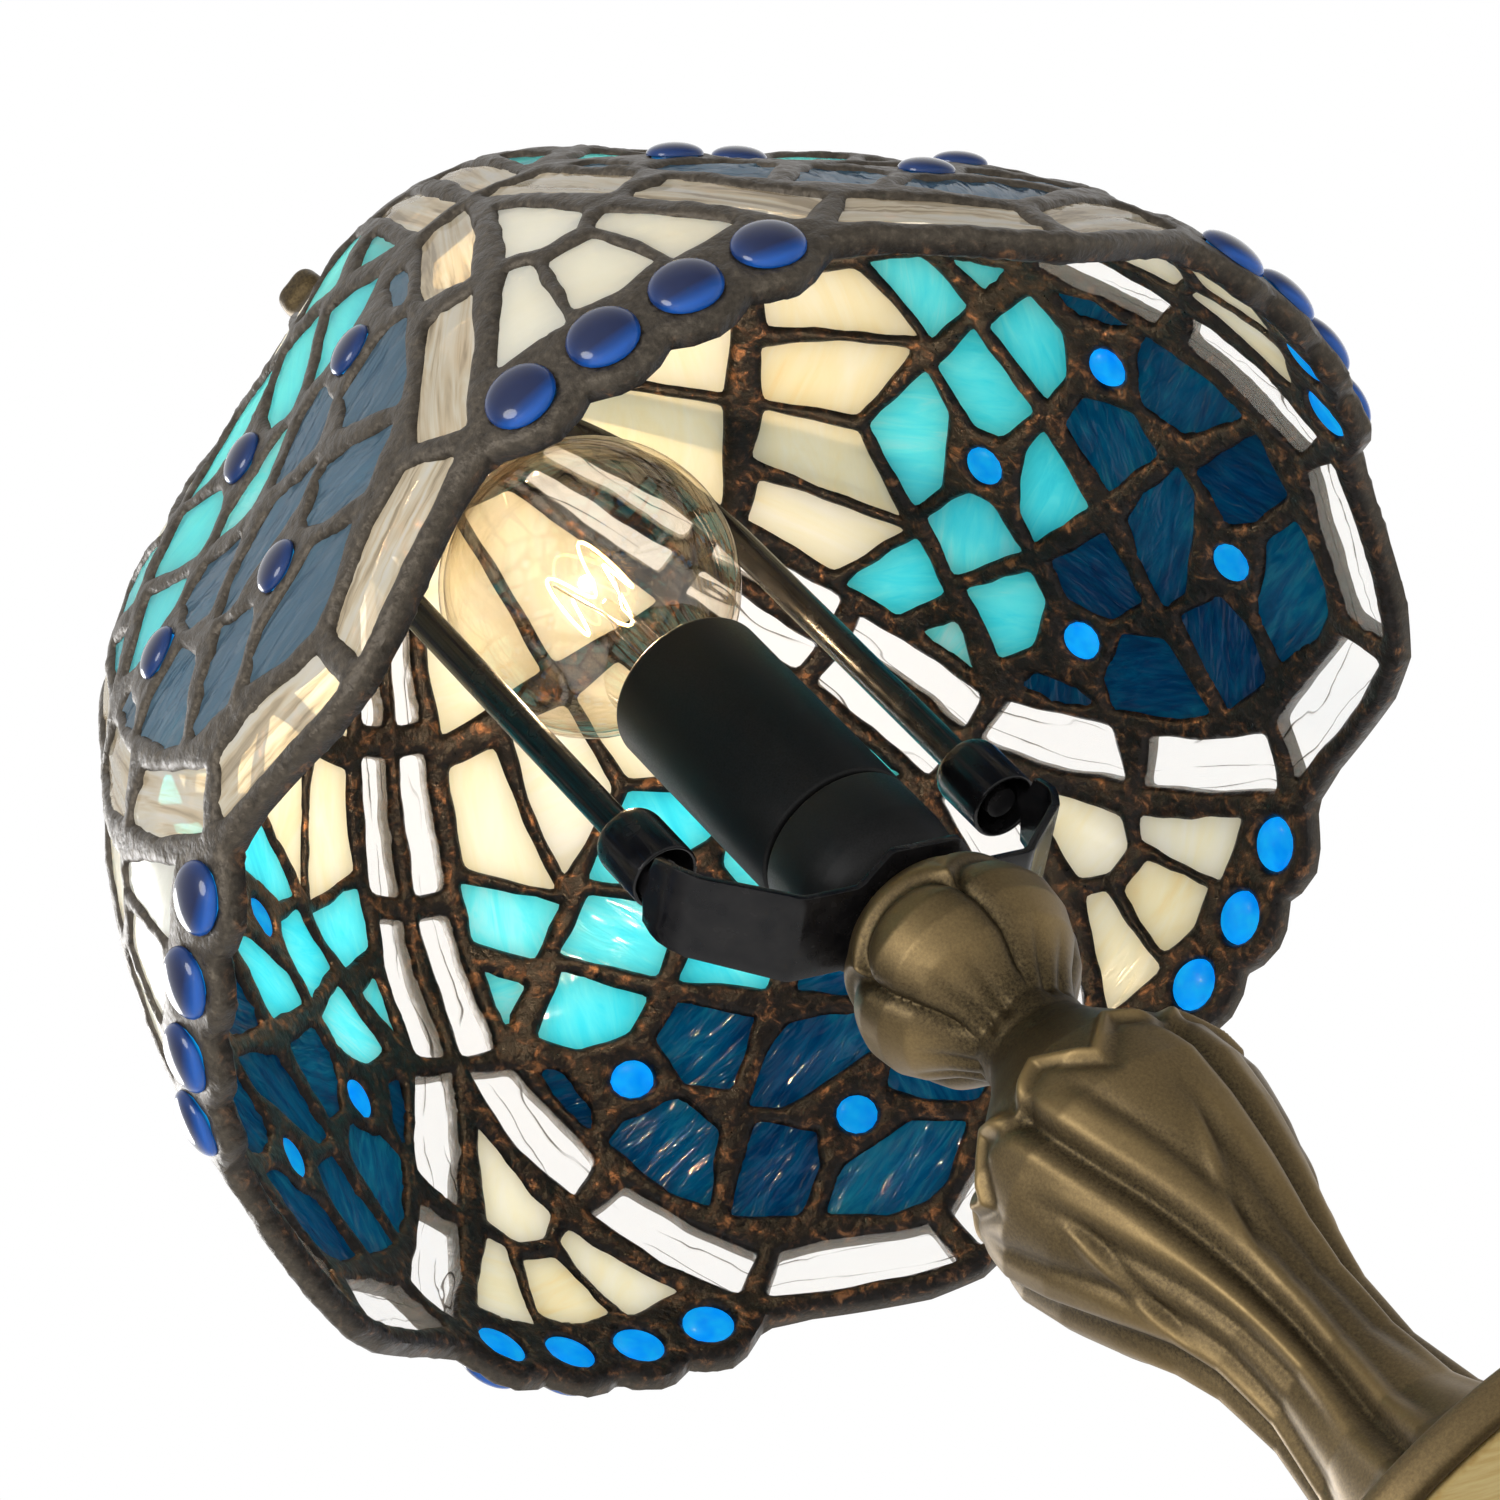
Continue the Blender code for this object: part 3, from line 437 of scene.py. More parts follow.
class Look(Nodes):
    """A material with its Principled shader, and the patterns that the materials share."""

    def __init__(self, name, roughness=0.5, metallic=0.0):
        self.mat = bpy.data.materials.new(name)
        self.mat.use_nodes = True
        super().__init__(self.mat.node_tree)
        self.shader = self.tree.nodes["Principled BSDF"]
        self.output = self.tree.nodes["Material Output"]
        self.set("Roughness", roughness)
        self.set("Metallic", metallic)

    def set(self, socket, value):
        self.shader.inputs[socket].default_value = value

    def attribute(self, name):
        node = self.tree.nodes.new("ShaderNodeAttribute")
        node.attribute_name = name
        return node

    def coords(self, scale=(1, 1, 1), source=None):
        """Object coordinates in millimetres, or another vector, scaled along each axis."""
        if source is None:
            source = self.node("ShaderNodeTexCoord").outputs["Object"]
            scale = tuple(s / MM for s in scale)
        return self.node("ShaderNodeMapping", Vector=source, Scale=scale).outputs[0]

    def noise(self, vector, scale, detail=3.0, roughness=0.55, distortion=0.0):
        return self.node("ShaderNodeTexNoise", Vector=vector, Scale=scale, Detail=detail,
                         Roughness=roughness, Distortion=distortion).outputs["Fac"]

    def channels(self, name):
        """The three channels of a colour attribute."""
        node = self.node("ShaderNodeSeparateColor", Color=self.attribute(name).outputs["Color"])
        return node.outputs[0], node.outputs[1], node.outputs[2]

    def ramp(self, fac, *stops):
        """Colour ramp from (place, colour) stops."""
        node = self.node("ShaderNodeValToRGB", Fac=fac)
        elements = node.color_ramp.elements
        while len(elements) < len(stops):
            elements.new(0.5)
        for element, (place, colour) in zip(elements, stops):
            element.position, element.color = place, (*colour, 1.0)
        return node.outputs["Color"]

    def mix(self, fac, a, b):
        """Colour from a to b by fac."""
        node = self.tree.nodes.new("ShaderNodeMix")
        node.data_type = "RGBA"
        for value, k in ((fac, 0), (a, 6), (b, 7)):
            self.put((*value, 1.0) if isinstance(value, tuple) else value, node.inputs[k])
        return node.outputs[2]

    def range(self, fac, low, high, start=0.3, end=0.7):
        """low where fac is start, high where it is end, straight between and level beyond."""
        return self.node("ShaderNodeMapRange", Value=fac, From_Min=start, From_Max=end,
                         To_Min=low, To_Max=high).outputs[0]

    def bump(self, fac, strength, distance=0.3 * MM, after=None):
        node = self.node("ShaderNodeBump", Height=fac, Strength=strength, Distance=distance)
        if after is not None:
            self.link(after, node.inputs["Normal"])
        self.link(node.outputs[0], self.shader.inputs["Normal"])
        return node.outputs[0]

    def colour(self, source):
        self.link(source, self.shader.inputs["Base Color"])

    def rough(self, source):
        self.link(source, self.shader.inputs["Roughness"])

    def surface(self, fac, shader):
        """Shows the Principled shader mixed with another by fac."""
        node = self.node("ShaderNodeMixShader", Fac=fac)
        self.link(self.shader.outputs[0], node.inputs[1])
        self.link(shader, node.inputs[2])
        self.link(node.outputs[0], self.output.inputs["Surface"])


def art_glass(name, stops, outside, streak=(0.07, 0.3, 1.0), glow=0.5, roughness=0.12, ripple=0.25, coat=0.3):
    """Translucent art glass: streaks along each piece's own grain, and a tint of its own.

    outside is the colour and share of a painted reflection, mixed into the glass's colour on the shade's
    outer side;
    glow is the share of light that comes through, and ripple the strength of the waves in the surface."""
    look = Look(name, roughness=roughness)
    grain = look.attribute("grain").outputs["Vector"]
    own, outer, _ = look.channels("tint")
    streaks = look.noise(look.coords(streak, grain), 1.0, 4.0, 0.6, 1.2)
    clouds = look.noise(look.coords((0.05, 0.07, 1.0), grain), 1.0, 2.0)
    fac = look.math("MULTIPLY_ADD", own, 0.2, look.mix(0.35, streaks, clouds))
    # painted reflection: on the outer side the colour is pulled towards the outside tone by its share
    tone, share = outside
    colour = look.mix(look.math("MULTIPLY", outer, share), look.ramp(fac, *stops), tone)
    look.colour(colour)
    waves = look.noise(look.coords((0.12, 0.5, 1.0), grain), 1.0, 2.0, 0.5, 1.0)
    normal = look.bump(waves, ripple, 0.6 * MM)
    through = look.node("ShaderNodeBsdfTranslucent", Color=colour, Normal=normal).outputs[0]
    look.set("Coat Weight", coat)
    look.surface(glow, through)
    return look.mat


def cream_glass():
    stops = (
        (0.30, (0.93, 0.76, 0.40)), (0.48, (0.94, 0.87, 0.62)), (0.64, (0.95, 0.92, 0.76)),
        (0.85, (0.97, 0.96, 0.90)),
    )
    # the near-white outside tone is a painted reflection on the outer side
    return art_glass("cream_glass", stops, ((0.98, 0.98, 0.92), 0.85), streak=(0.04, 0.16, 1.0), glow=0.64,
                     roughness=0.16, ripple=0.1)


def turquoise_glass():
    stops = (
        (0.28, (0.05, 0.70, 0.86)), (0.48, (0.12, 0.87, 0.98)), (0.66, (0.26, 0.95, 1.0)),
        (0.85, (0.62, 0.97, 0.99)),
    )
    # the pale outside tone is a painted reflection on the outer side
    return art_glass("turquoise_glass", stops, ((0.46, 0.83, 0.84), 0.5), glow=0.78, ripple=0.15)


def navy_glass():
    stops = (
        (0.30, (0.0, 0.022, 0.080)), (0.50, (0.0, 0.056, 0.175)), (0.66, (0.001, 0.120, 0.270)),
        (0.90, (0.02, 0.30, 0.44)),
    )
    # the slate outside tone is a painted reflection on the outer side
    return art_glass("navy_glass", stops, ((0.25, 0.38, 0.44), 0.68), streak=(0.08, 0.4, 1.0), glow=0.66,
                     roughness=0.08, ripple=0.8, coat=0.1)


def clear_glass():
    """Rippled colourless glass: what is behind shows through, crossed by thin dark lines along the strip.

    On the outer side a painted tan reflection in streaks colours it, and it lets less through there.
    """
    look = Look("clear_ripple_glass", roughness=0.06)
    grain = look.attribute("grain").outputs["Vector"]
    _, outer, _ = look.channels("tint")
    waves = look.noise(look.coords((0.05, 0.16, 1.0), grain), 1.0, 1.5, 0.4, 0.5)
    fade = look.noise(look.coords((0.09, 0.05, 1.0), grain), 1.0, 1.0)
    across = look.node("ShaderNodeSeparateXYZ", Vector=grain).outputs["Y"]
    bands = look.math("FRACT", look.math("MULTIPLY_ADD", waves, 1.9, look.math("MULTIPLY", across, 0.24)))
    white, grey, dark = (0.995, 0.99, 0.985), (0.88, 0.86, 0.84), (0.22, 0.20, 0.18)
    thin = look.ramp(bands, (0.42, white), (0.49, grey), (0.50, dark), (0.53, dark), (0.545, white))
    lines = look.mix(look.range(fade, 0.0, 1.0, 0.45, 0.62), thin, white)
    # painted reflection: tan streaks, used only on the outer side
    painted_tan_reflection = look.ramp(look.noise(look.coords((0.035, 0.45, 1.0), grain), 1.0, 3.0, 0.6, 0.6),
                      (0.36, (0.34, 0.24, 0.15)), (0.45, (0.80, 0.63, 0.42)), (0.55, (0.99, 0.90, 0.73)),
                      (0.66, (1.0, 0.98, 0.93)))
    # what shows through is tinted by the painted reflection on the outer side
    tone = look.mix(look.math("MULTIPLY", outer, 0.75), lines, painted_tan_reflection)
    look.bump(waves, 0.35, 0.8 * MM)
    look.colour(look.mix(outer, lines, look.mix(0.65, (1.0, 0.88, 0.62), painted_tan_reflection)))
    # the outer side lets less through so that the painted reflection shows; seen from inside, the glass stays
    # nearly clear
    leaving = look.node("ShaderNodeNewGeometry").outputs["Backfacing"]
    tone = look.mix(leaving, tone, (0.99, 0.99, 0.985))
    see = look.node("ShaderNodeBsdfTransparent", Color=tone).outputs[0]
    entering = look.mix(outer, (0.84,) * 3, (0.58,) * 3)
    look.surface(look.mix(leaving, entering, (0.98,) * 3), see)
    return look.mat


def jewel_glass():
    """Cobalt glass: bright azure where light comes through it, nearly black-blue on top of its dome.

    The inner side also glows azure, a painted glow; outside, the dome is painted darker towards its edge,
    every dome gets a painted light at its edge, and the rim jewels also get one on their lower side. The
    first channel of tint is 1 on the jewels at the rim; the third rises from 0 on top of a dome to 1 at its
    edge."""
    look = Look("cobalt_jewel", roughness=0.06)
    rim, outer, edge = look.channels("tint")
    mottle = look.noise(look.coords((0.25, 0.25, 0.25)), 1.0, 2.0)
    azure = look.ramp(mottle, (0.3, (0.0, 0.32, 0.95)), (0.7, (0.01, 0.50, 1.0)))
    # painted shade: the dome's outer colour darkens from where it faces the eye towards its edge
    facing = look.node("ShaderNodeLayerWeight", Blend=0.35).outputs["Facing"]
    dome = look.ramp(facing, (0.0, (0.004, 0.012, 0.055)), (0.5, (0.003, 0.006, 0.03)),
                     (0.9, (0.002, 0.003, 0.01)))
    normal = look.node("ShaderNodeTexCoord").outputs["Normal"]
    # painted light on the lower side of the rim jewels, and a little at the edge of every dome
    upward = look.node("ShaderNodeSeparateXYZ", Vector=normal).outputs["Z"]
    painted_low_side_light = look.range(upward, 1.0, 0.0, -0.75, -0.22)
    painted_edge_light = look.math("MULTIPLY", look.math("POWER", edge, 6.0), 0.3)
    painted_light = look.math("MULTIPLY_ADD", rim, painted_low_side_light, painted_edge_light)
    look.colour(look.mix(outer, azure, look.mix(painted_light, dome, (0.005, 0.085, 0.38))))
    look.set("Specular IOR Level", 0.3)
    look.set("Coat Weight", 0.3)
    look.set("Coat Roughness", 0.3)
    through = look.node("ShaderNodeBsdfTranslucent", Color=azure).outputs[0]
    # painted glow: the inner side gives off azure light of its own
    look.link(look.mix(outer, azure, (0.0, 0.0, 0.0)), look.shader.inputs["Emission Color"])
    look.set("Emission Strength", 4.0)
    # the translucent share rises where the painted light is
    glow = look.math("MULTIPLY_ADD", painted_light, 0.15, 0.02)
    look.surface(look.mix(outer, (0.85, 0.85, 0.85), glow), through)
    return look.mat


def solder():
    """Patinated solder: grey-brown outside; inside near black, a painted shade, with orange-brown patches
    that are partly the metal's own colour and partly painted glints.
    """
    look = Look("patinated_lead", metallic=0.6)
    place = look.coords()
    _, outer, _ = look.channels("tint")
    coarse = look.noise(place, 0.13, 4.0, 0.6)
    fine = look.noise(place, 0.8, 4.0, 0.65)
    patches = look.noise(place, 0.4, 4.0, 0.65, 0.6)
    # painted shade: the inside of the solder is kept near black
    painted_shade_inside = look.ramp(fine, (0.38, (0.003, 0.0025, 0.002)), (0.56, (0.010, 0.007, 0.006)),
                           (0.72, (0.085, 0.050, 0.034)))
    # orange-brown patches: partly the metal's colour, partly painted glints
    copper_and_glints = look.ramp(patches, (0.50, (0.008, 0.006, 0.005)), (0.58, (0.05, 0.024, 0.012)),
                       (0.70, (0.34, 0.15, 0.06)))
    inside_tone = look.mix(0.6, painted_shade_inside, copper_and_glints)
    outside_tone = look.ramp(fine, (0.3, (0.034, 0.027, 0.019)), (0.55, (0.068, 0.055, 0.040)),
                             (0.8, (0.14, 0.115, 0.085)))
    look.colour(look.mix(outer, inside_tone, outside_tone))
    look.rough(look.mix(outer, look.range(fine, 0.26, 0.58), look.range(fine, 0.36, 0.60)))
    swells = look.bump(coarse, 0.8, 1.2 * MM)
    look.bump(fine, 0.6, 0.4 * MM, swells)
    return look.mat


def bronze():
    """Antique bronze paint: dark in the folds, rubbed to dull gold on what stands out.

    The attribute that sets this also carries painted shade and painted highlights.
    """
    look = Look("antique_bronze", metallic=0.9, roughness=0.4)
    place = look.coords()
    rub_and_painted_light = look.attribute("rub_and_painted_light").outputs["Fac"]
    speckle = look.noise(place, 2.2, 3.0, 0.7)
    cloud = look.noise(place, 0.06, 3.0)
    base = look.ramp(rub_and_painted_light, (0.08, (0.014, 0.010, 0.006)), (0.40, (0.078, 0.054, 0.027)),
                     (0.60, (0.165, 0.113, 0.050)), (0.9, (0.38, 0.255, 0.105)))
    base = look.mix(look.range(cloud, 0.0, 0.35), base, (0.058, 0.042, 0.024))
    look.colour(look.mix(look.range(speckle, 0.0, 0.24), base, (0.36, 0.26, 0.115)))
    look.rough(look.range(cloud, 0.40, 0.52))
    look.bump(speckle, 0.12, 0.1 * MM)
    return look.mat


def black_metal(name, gloss):
    """Black enamelled metal; gloss is its specular level."""
    look = Look(name)
    look.set("Specular IOR Level", gloss)
    grime = look.noise(look.coords(), 0.25, 3.0)
    look.colour(look.ramp(grime, (0.3, (0.004, 0.004, 0.005)), (0.8, (0.014, 0.013, 0.013))))
    look.rough(look.range(grime, 0.14, 0.3))
    look.bump(look.noise(look.coords(), 0.7, 2.0), 0.05, 0.1 * MM)
    return look.mat


def black_plastic():
    look = Look("matte_black_plastic")
    look.set("Specular IOR Level", 0.16)
    grain = look.noise(look.coords(), 3.5, 2.0)
    look.colour(look.ramp(grain, (0.3, (0.004, 0.004, 0.004)), (0.75, (0.012, 0.012, 0.012))))
    look.rough(look.range(grain, 0.42, 0.56))
    look.bump(grain, 0.2, 0.05 * MM)
    return look.mat


def bulb_glass():
    """Thin clear glass: straight through in the middle, dark-edged and mirror-like towards the rim; the dark,
    warm edge of what shows through is a painted reflection.
    """
    look = Look("bulb_glass", roughness=0.03, metallic=1.0)
    facing = look.node("ShaderNodeLayerWeight", Blend=0.5).outputs["Facing"]
    film = look.noise(look.coords(), 0.05, 2.0)
    look.colour(look.ramp(film, (0.3, (0.86, 0.83, 0.78)), (0.8, (0.97, 0.96, 0.94))))
    # painted reflection: what shows through darkens and warms towards the edge
    tone = look.ramp(facing, (0.0, (0.985, 0.97, 0.94)), (0.6, (0.95, 0.92, 0.87)),
                     (0.85, (0.80, 0.75, 0.68)), (1.0, (0.34, 0.30, 0.25)))
    clear = look.node("ShaderNodeBsdfTransparent", Color=tone).outputs[0]
    clarity = ((0.0, 0.95), (0.6, 0.93), (0.85, 0.80), (1.0, 0.35))
    through = look.ramp(facing, *[(place, (share,) * 3) for place, share in clarity])
    look.surface(through, clear)
    return look.mat


def filament_glow():
    look = Look("hot_filament")
    look.set("Base Color", (1.0, 0.75, 0.4, 1.0))
    heat = look.noise(look.coords(), 0.6, 2.0)
    look.set("Specular IOR Level", 0.0)
    glow = look.ramp(heat, (0.2, (1.0, 0.45, 0.10)), (0.8, (1.0, 0.74, 0.36)))
    look.link(glow, look.shader.inputs["Emission Color"])
    look.set("Emission Strength", 9.0)
    return look.mat


def brushed(name, low, high, roughness, metallic=1.0, stretch=(0.2, 4.0, 4.0)):
    """Metal with fine parallel marks along X."""
    look = Look(name, roughness=roughness, metallic=metallic)
    marks = look.noise(look.coords(stretch), 1.0, 4.0, 0.6)
    look.colour(look.ramp(marks, (0.3, low), (0.7, high)))
    look.rough(look.range(marks, roughness - 0.08, roughness + 0.12))
    look.bump(marks, 0.25, 0.05 * MM)
    return look.mat


MATS = {
    "cream": cream_glass(), "turquoise": turquoise_glass(), "navy": navy_glass(), "clear": clear_glass(),
    "jewel": jewel_glass(), "solder": solder(), "bronze": bronze(),
    "black": black_metal("gloss_black_metal", 0.26), "sheet": black_metal("black_sheet_metal", 0.18),
    "plastic": black_plastic(), "bulb": bulb_glass(), "filament": filament_glow(),
    "brass": brushed("brass", (0.55, 0.36, 0.12), (0.83, 0.6, 0.26), 0.28),
    "steel": brushed("zinc_steel", (0.4, 0.4, 0.42), (0.65, 0.65, 0.66), 0.32),
    "pad": brushed("golden_pad", (0.85, 0.58, 0.20), (1.0, 0.80, 0.36), 0.55, 0.2, (0.15, 1.2, 1.2)),
}


# ---------------------------------------------------------------- shade

def mirrored(outline):
    return tuple((-a, h) for a, h in reversed(outline))


def both_sides(pairs):
    return [side for outline in pairs for side in (outline, mirrored(outline))]


def unfolded(halves):
    """Outlines whose first point is on the middle line and whose other points are on its right."""
    return [half + mirrored(half[1:]) for half in halves]


def moved(outline, by):
    return tuple((a + by, h) for a, h in outline)


FAN_AT = -SECTOR / 2
PATTERN = (
    ("cream", both_sides(CREAM_PAIRS)),
    ("turquoise", both_sides(TURQUOISE_PAIRS) + unfolded(TURQUOISE_HALVES)),
    ("navy", both_sides(NAVY_PAIRS) + unfolded(NAVY_HALVES)),
    ("clear", both_sides(CLEAR_PAIRS)),
    ("fan", [moved(o, FAN_AT) for o in (FAN_PAIR, mirrored(FAN_PAIR), *FAN_MIDDLE)]),
)
# for each kind of piece, the size of its triangles and the height of its ripples, mm, and its CAD panels
SLAB_STEP = {"cream": 3.2, "turquoise": 2.6, "navy": 1.7, "clear": 1.7, "fan": 3.2}
RIPPLES = {"cream": 0.06, "turquoise": 0.08, "navy": 0.2, "clear": 0.2, "fan": 0.06}
CAD_PANELS = {
    "cream": "cream_panel", "turquoise": "turquoise_panel", "navy": "navy_panel", "clear": "border_glass",
    "fan": "fan_panel",
}


def glass_slab(mesh, hole, kind, rng, turn):
    """One piece of glass: its hole in the solder, grown under the solder, with a rippled surface."""
    step = SLAB_STEP[kind]
    outline = divide(grow(hole, TUCK), step)
    spots = grid_points(outline.min(axis=0), outline.max(axis=0), step)
    starts, ends = outline, np.roll(outline, -1, axis=0)
    spots = spots[inside(spots, starts, ends)]
    spots = spots[edge_distance(spots, starts, ends) > 0.45 * step]
    flat, faces, *_ = triangulate([outline], spots)
    centre = outline.mean(axis=0)
    turn_by = rng.uniform(-0.5, 0.5) + (math.pi / 2 if rng.random() < 0.4 else 0.0)
    if kind == "clear":
        long = outline - centre
        axis = np.linalg.svd(long)[2][0]
        turn_by = math.atan2(axis[1], axis[0])
    spin = np.array(((math.cos(turn_by), -math.sin(turn_by)), (math.sin(turn_by), math.cos(turn_by))))
    local = (flat - centre) @ spin
    seed = rng.uniform(0, 400)
    grain = np.column_stack((local[:, 0] + seed, local[:, 1] + seed * 0.7, np.full(len(flat), seed)))
    size = RIPPLES[kind]
    wave = np.sin(local[:, 1] * 1.1 + seed + 1.3 * np.sin(local[:, 0] * 0.23 + seed))
    wave += 0.6 * np.sin(local[:, 1] * 2.3 + 1.7 * seed + np.sin(local[:, 0] * 0.4 + 2 * seed))
    tint = rng.random()
    outer, inner = GLASS_HALF + size * wave, -GLASS_HALF - size * np.roll(wave, 3)
    mesh.slab(flat, faces, outer, inner, turn, grain, tint)


def jewel_rows(radius):
    """Rows of a round jewel, as radius and distance out: a full dome outside, a shallow bulge inside."""
    dome = radius * 1.27
    top, seat = 1.8 + radius * 0.66, 2.2
    bulge, rise = np.linspace(0.05, math.pi / 2, 6), np.linspace(0.1, 1.5, 9)
    rows = [(radius * math.sin(t), -1.15 - radius * 0.22 * math.cos(t)) for t in bulge]
    rows += [(radius * 1.02, -0.6), (radius * 1.02, 1.9), (dome * 0.99, seat - 0.15)]
    return rows + [(dome * math.cos(t), seat + (top - seat) * math.sin(t)) for t in rise]


def jewels(name, places, turn, rim):
    """Round jewels as one piece; rim is 1 for those at the shade's edge and 0 for the others."""
    bm = bmesh.new()
    tint = bm.verts.layers.float_color.new("tint")
    sides = 28
    for angle, height, size in places:
        place, normal = shade_frame([angle], [height])
        place, normal = Vector(place[0]), Vector(normal[0])
        matrix = Matrix.Rotation(math.radians(turn), 4, "Z") @ Matrix.Translation(place)
        matrix = matrix @ normal.to_track_quat("Z", "Y").to_matrix().to_4x4()
        rows = jewel_rows(size)
        widest = max(radius for radius, _ in rows)
        rings = []
        for radius, out in rows:
            spots = [Vector((radius * math.cos(a), radius * math.sin(a), out))
                     for a in np.linspace(0, 2 * math.pi, sides, endpoint=False)]
            rings.append([bm.verts.new(matrix @ spot * MM) for spot in spots])
            for vert in rings[-1]:
                vert[tint] = (rim, 1.0 if out > 0 else 0.0, min(1.0, radius / widest), 1.0)
        for lower, upper in zip(rings, rings[1:]):
            for k in range(sides):
                bm.faces.new((lower[k], lower[(k + 1) % sides], upper[(k + 1) % sides], upper[k]))
        bm.faces.new(rings[0])
        bm.faces.new(rings[-1])
    return finish_bmesh(name, bm, MATS["jewel"], "shade", 60.0)


def lumps(place, scale):
    """Smooth uneven heights from -1 to 1 that depend only on where a point is."""
    x, y, z = (place * scale).T
    first = np.sin(x + 1.3 * np.sin(y * 0.8 + z * 0.5))
    second = np.sin(y * 1.2 + 1.1 * np.sin(z * 0.9 + x * 0.4) + 2)
    third = np.sin(z * 1.1 + 1.2 * np.sin(x * 0.7 + y * 0.6) + 4)
    return (first + second + third) / 3


def solder_sector(mesh, holes, turn):
    """The solder of one lobe and the fan on its left, beaded between all the holes."""
    seam = divide(flatten(SEAM), 1.6, closed=False)
    seam_angle, seam_height = unflatten(seam)
    left = flatten(np.column_stack((seam_angle - SECTOR, seam_height)))
    crown = flatten([(a, 127) for a in np.linspace(-33, 33, 23)])
    low = flatten(list(JEWEL_EDGE) + list(TIP_EDGE))
    right_end = flatten([SEAM[-1]])
    low = divide(np.concatenate((left[-1:], low, right_end)), 1.4, closed=False)[1:-1]
    outline = np.concatenate((seam[::-1], crown[::-1], left, low))
    loops = [outline] + holes
    hole_starts = np.concatenate(holes + [low[:-1], crown[:-1]])
    hole_ends = np.concatenate([np.roll(h, -1, axis=0) for h in holes] + [low[1:], crown[1:]])
    all_starts = np.concatenate(loops)
    all_ends = np.concatenate([np.roll(loop, -1, axis=0) for loop in loops])
    spots = np.concatenate(
        [grid_points(outline.min(axis=0), outline.max(axis=0), 1.35)]
        + [divide(grow(h, TUCK), 1.5) for h in holes] + [divide(grow(h, 1.15), 1.7) for h in holes])
    spots = spots[inside(spots, all_starts, all_ends)]
    spots = spots[edge_distance(spots, all_starts, all_ends) > 0.42]
    _, first = np.unique(np.round(spots / 0.5), axis=0, return_index=True)
    flat, faces, *_ = triangulate(loops, spots[np.sort(first)])
    angle, height = unflatten(flat)
    place = shade_place(angle + turn, height)
    distance = edge_distance(flat, hole_starts, hole_ends)
    rise = np.sqrt(1 - (1 - np.clip(distance / BEAD_WIDTH, 0, 1)) ** 2)
    uneven = 0.22 * lumps(place, 0.45) + 0.18 * lumps(place, 1.3)
    offset = LEAD_EDGE + rise * (LEAD_RISE + uneven)
    seam_edges = np.concatenate((seam[:-1], left[:-1])), np.concatenate((seam[1:], left[1:]))
    on_seam = set(np.flatnonzero(edge_distance(flat, *seam_edges) < 1e-4).tolist())
    mesh.slab(flat, faces, offset, -offset, turn, open_edges=on_seam)


def shade():
    solder_mesh = Mesh()
    for k in range(LOBES):
        turn = SHADE_TURN + k * SECTOR
        rng = random.Random(100 + k)
        holes = []
        for kind, outlines in PATTERN:
            mesh = Mesh()
            for outline in outlines:
                hole = round_corners(flatten(outline), 0.9)
                hole = wobble(divide(hole, 1.6), rng, 0.14)
                holes.append(hole)
                glass_slab(mesh, hole, kind, rng, turn)
            mat = MATS["cream" if kind == "fan" else kind]
            obj = mesh.make(f"{kind}_glass_{k + 1}", mat)
            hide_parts(f"{CAD_PANELS[kind]}_{k + 1}")
        fan_jewels = [(angle + FAN_AT, height, radius) for angle, height, radius in FAN_JEWELS]
        holes += [circle(*place) for place in fan_jewels] + [circle(*place, 14) for place in OVAL_JEWELS]
        obj = jewels(f"fan_jewels_{k + 1}", fan_jewels, turn, 1.0)
        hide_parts(f"jewel_strip_{k + 1}")
        jewels(f"oval_jewels_{k + 1}", OVAL_JEWELS, turn, 0.0)
        solder_sector(solder_mesh, holes, turn)
    obj = solder_mesh.make("solder_network", MATS["solder"], sharp=60.0, weld=True)
    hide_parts("lead_frame")


# ---------------------------------------------------------------- cap, finial, harp

CAP_UNDERSIDE = 313.2
# heights of the wire's top and of both ends of its legs, each leg's distance from the axis, the wire's radius
HARP_TOP, LEG_TOP, LEG_BOTTOM, LEG_X, WIRE = 307.4, 258.0, 188.5, 29.0, 2.4
SADDLE_Z = 168.9
GAP = 0.3               # clearance between parts that touch, mm


def add_rub_and_painted_light(obj, value):
    """Stores how rubbed the bronze is at each vertex, with painted light and shade mixed in; higher is
    lighter.
    """
    layer = obj.data.attributes.new("rub_and_painted_light", "FLOAT", "POINT")
    layer.data.foreach_set("value", np.asarray(value, np.float32))


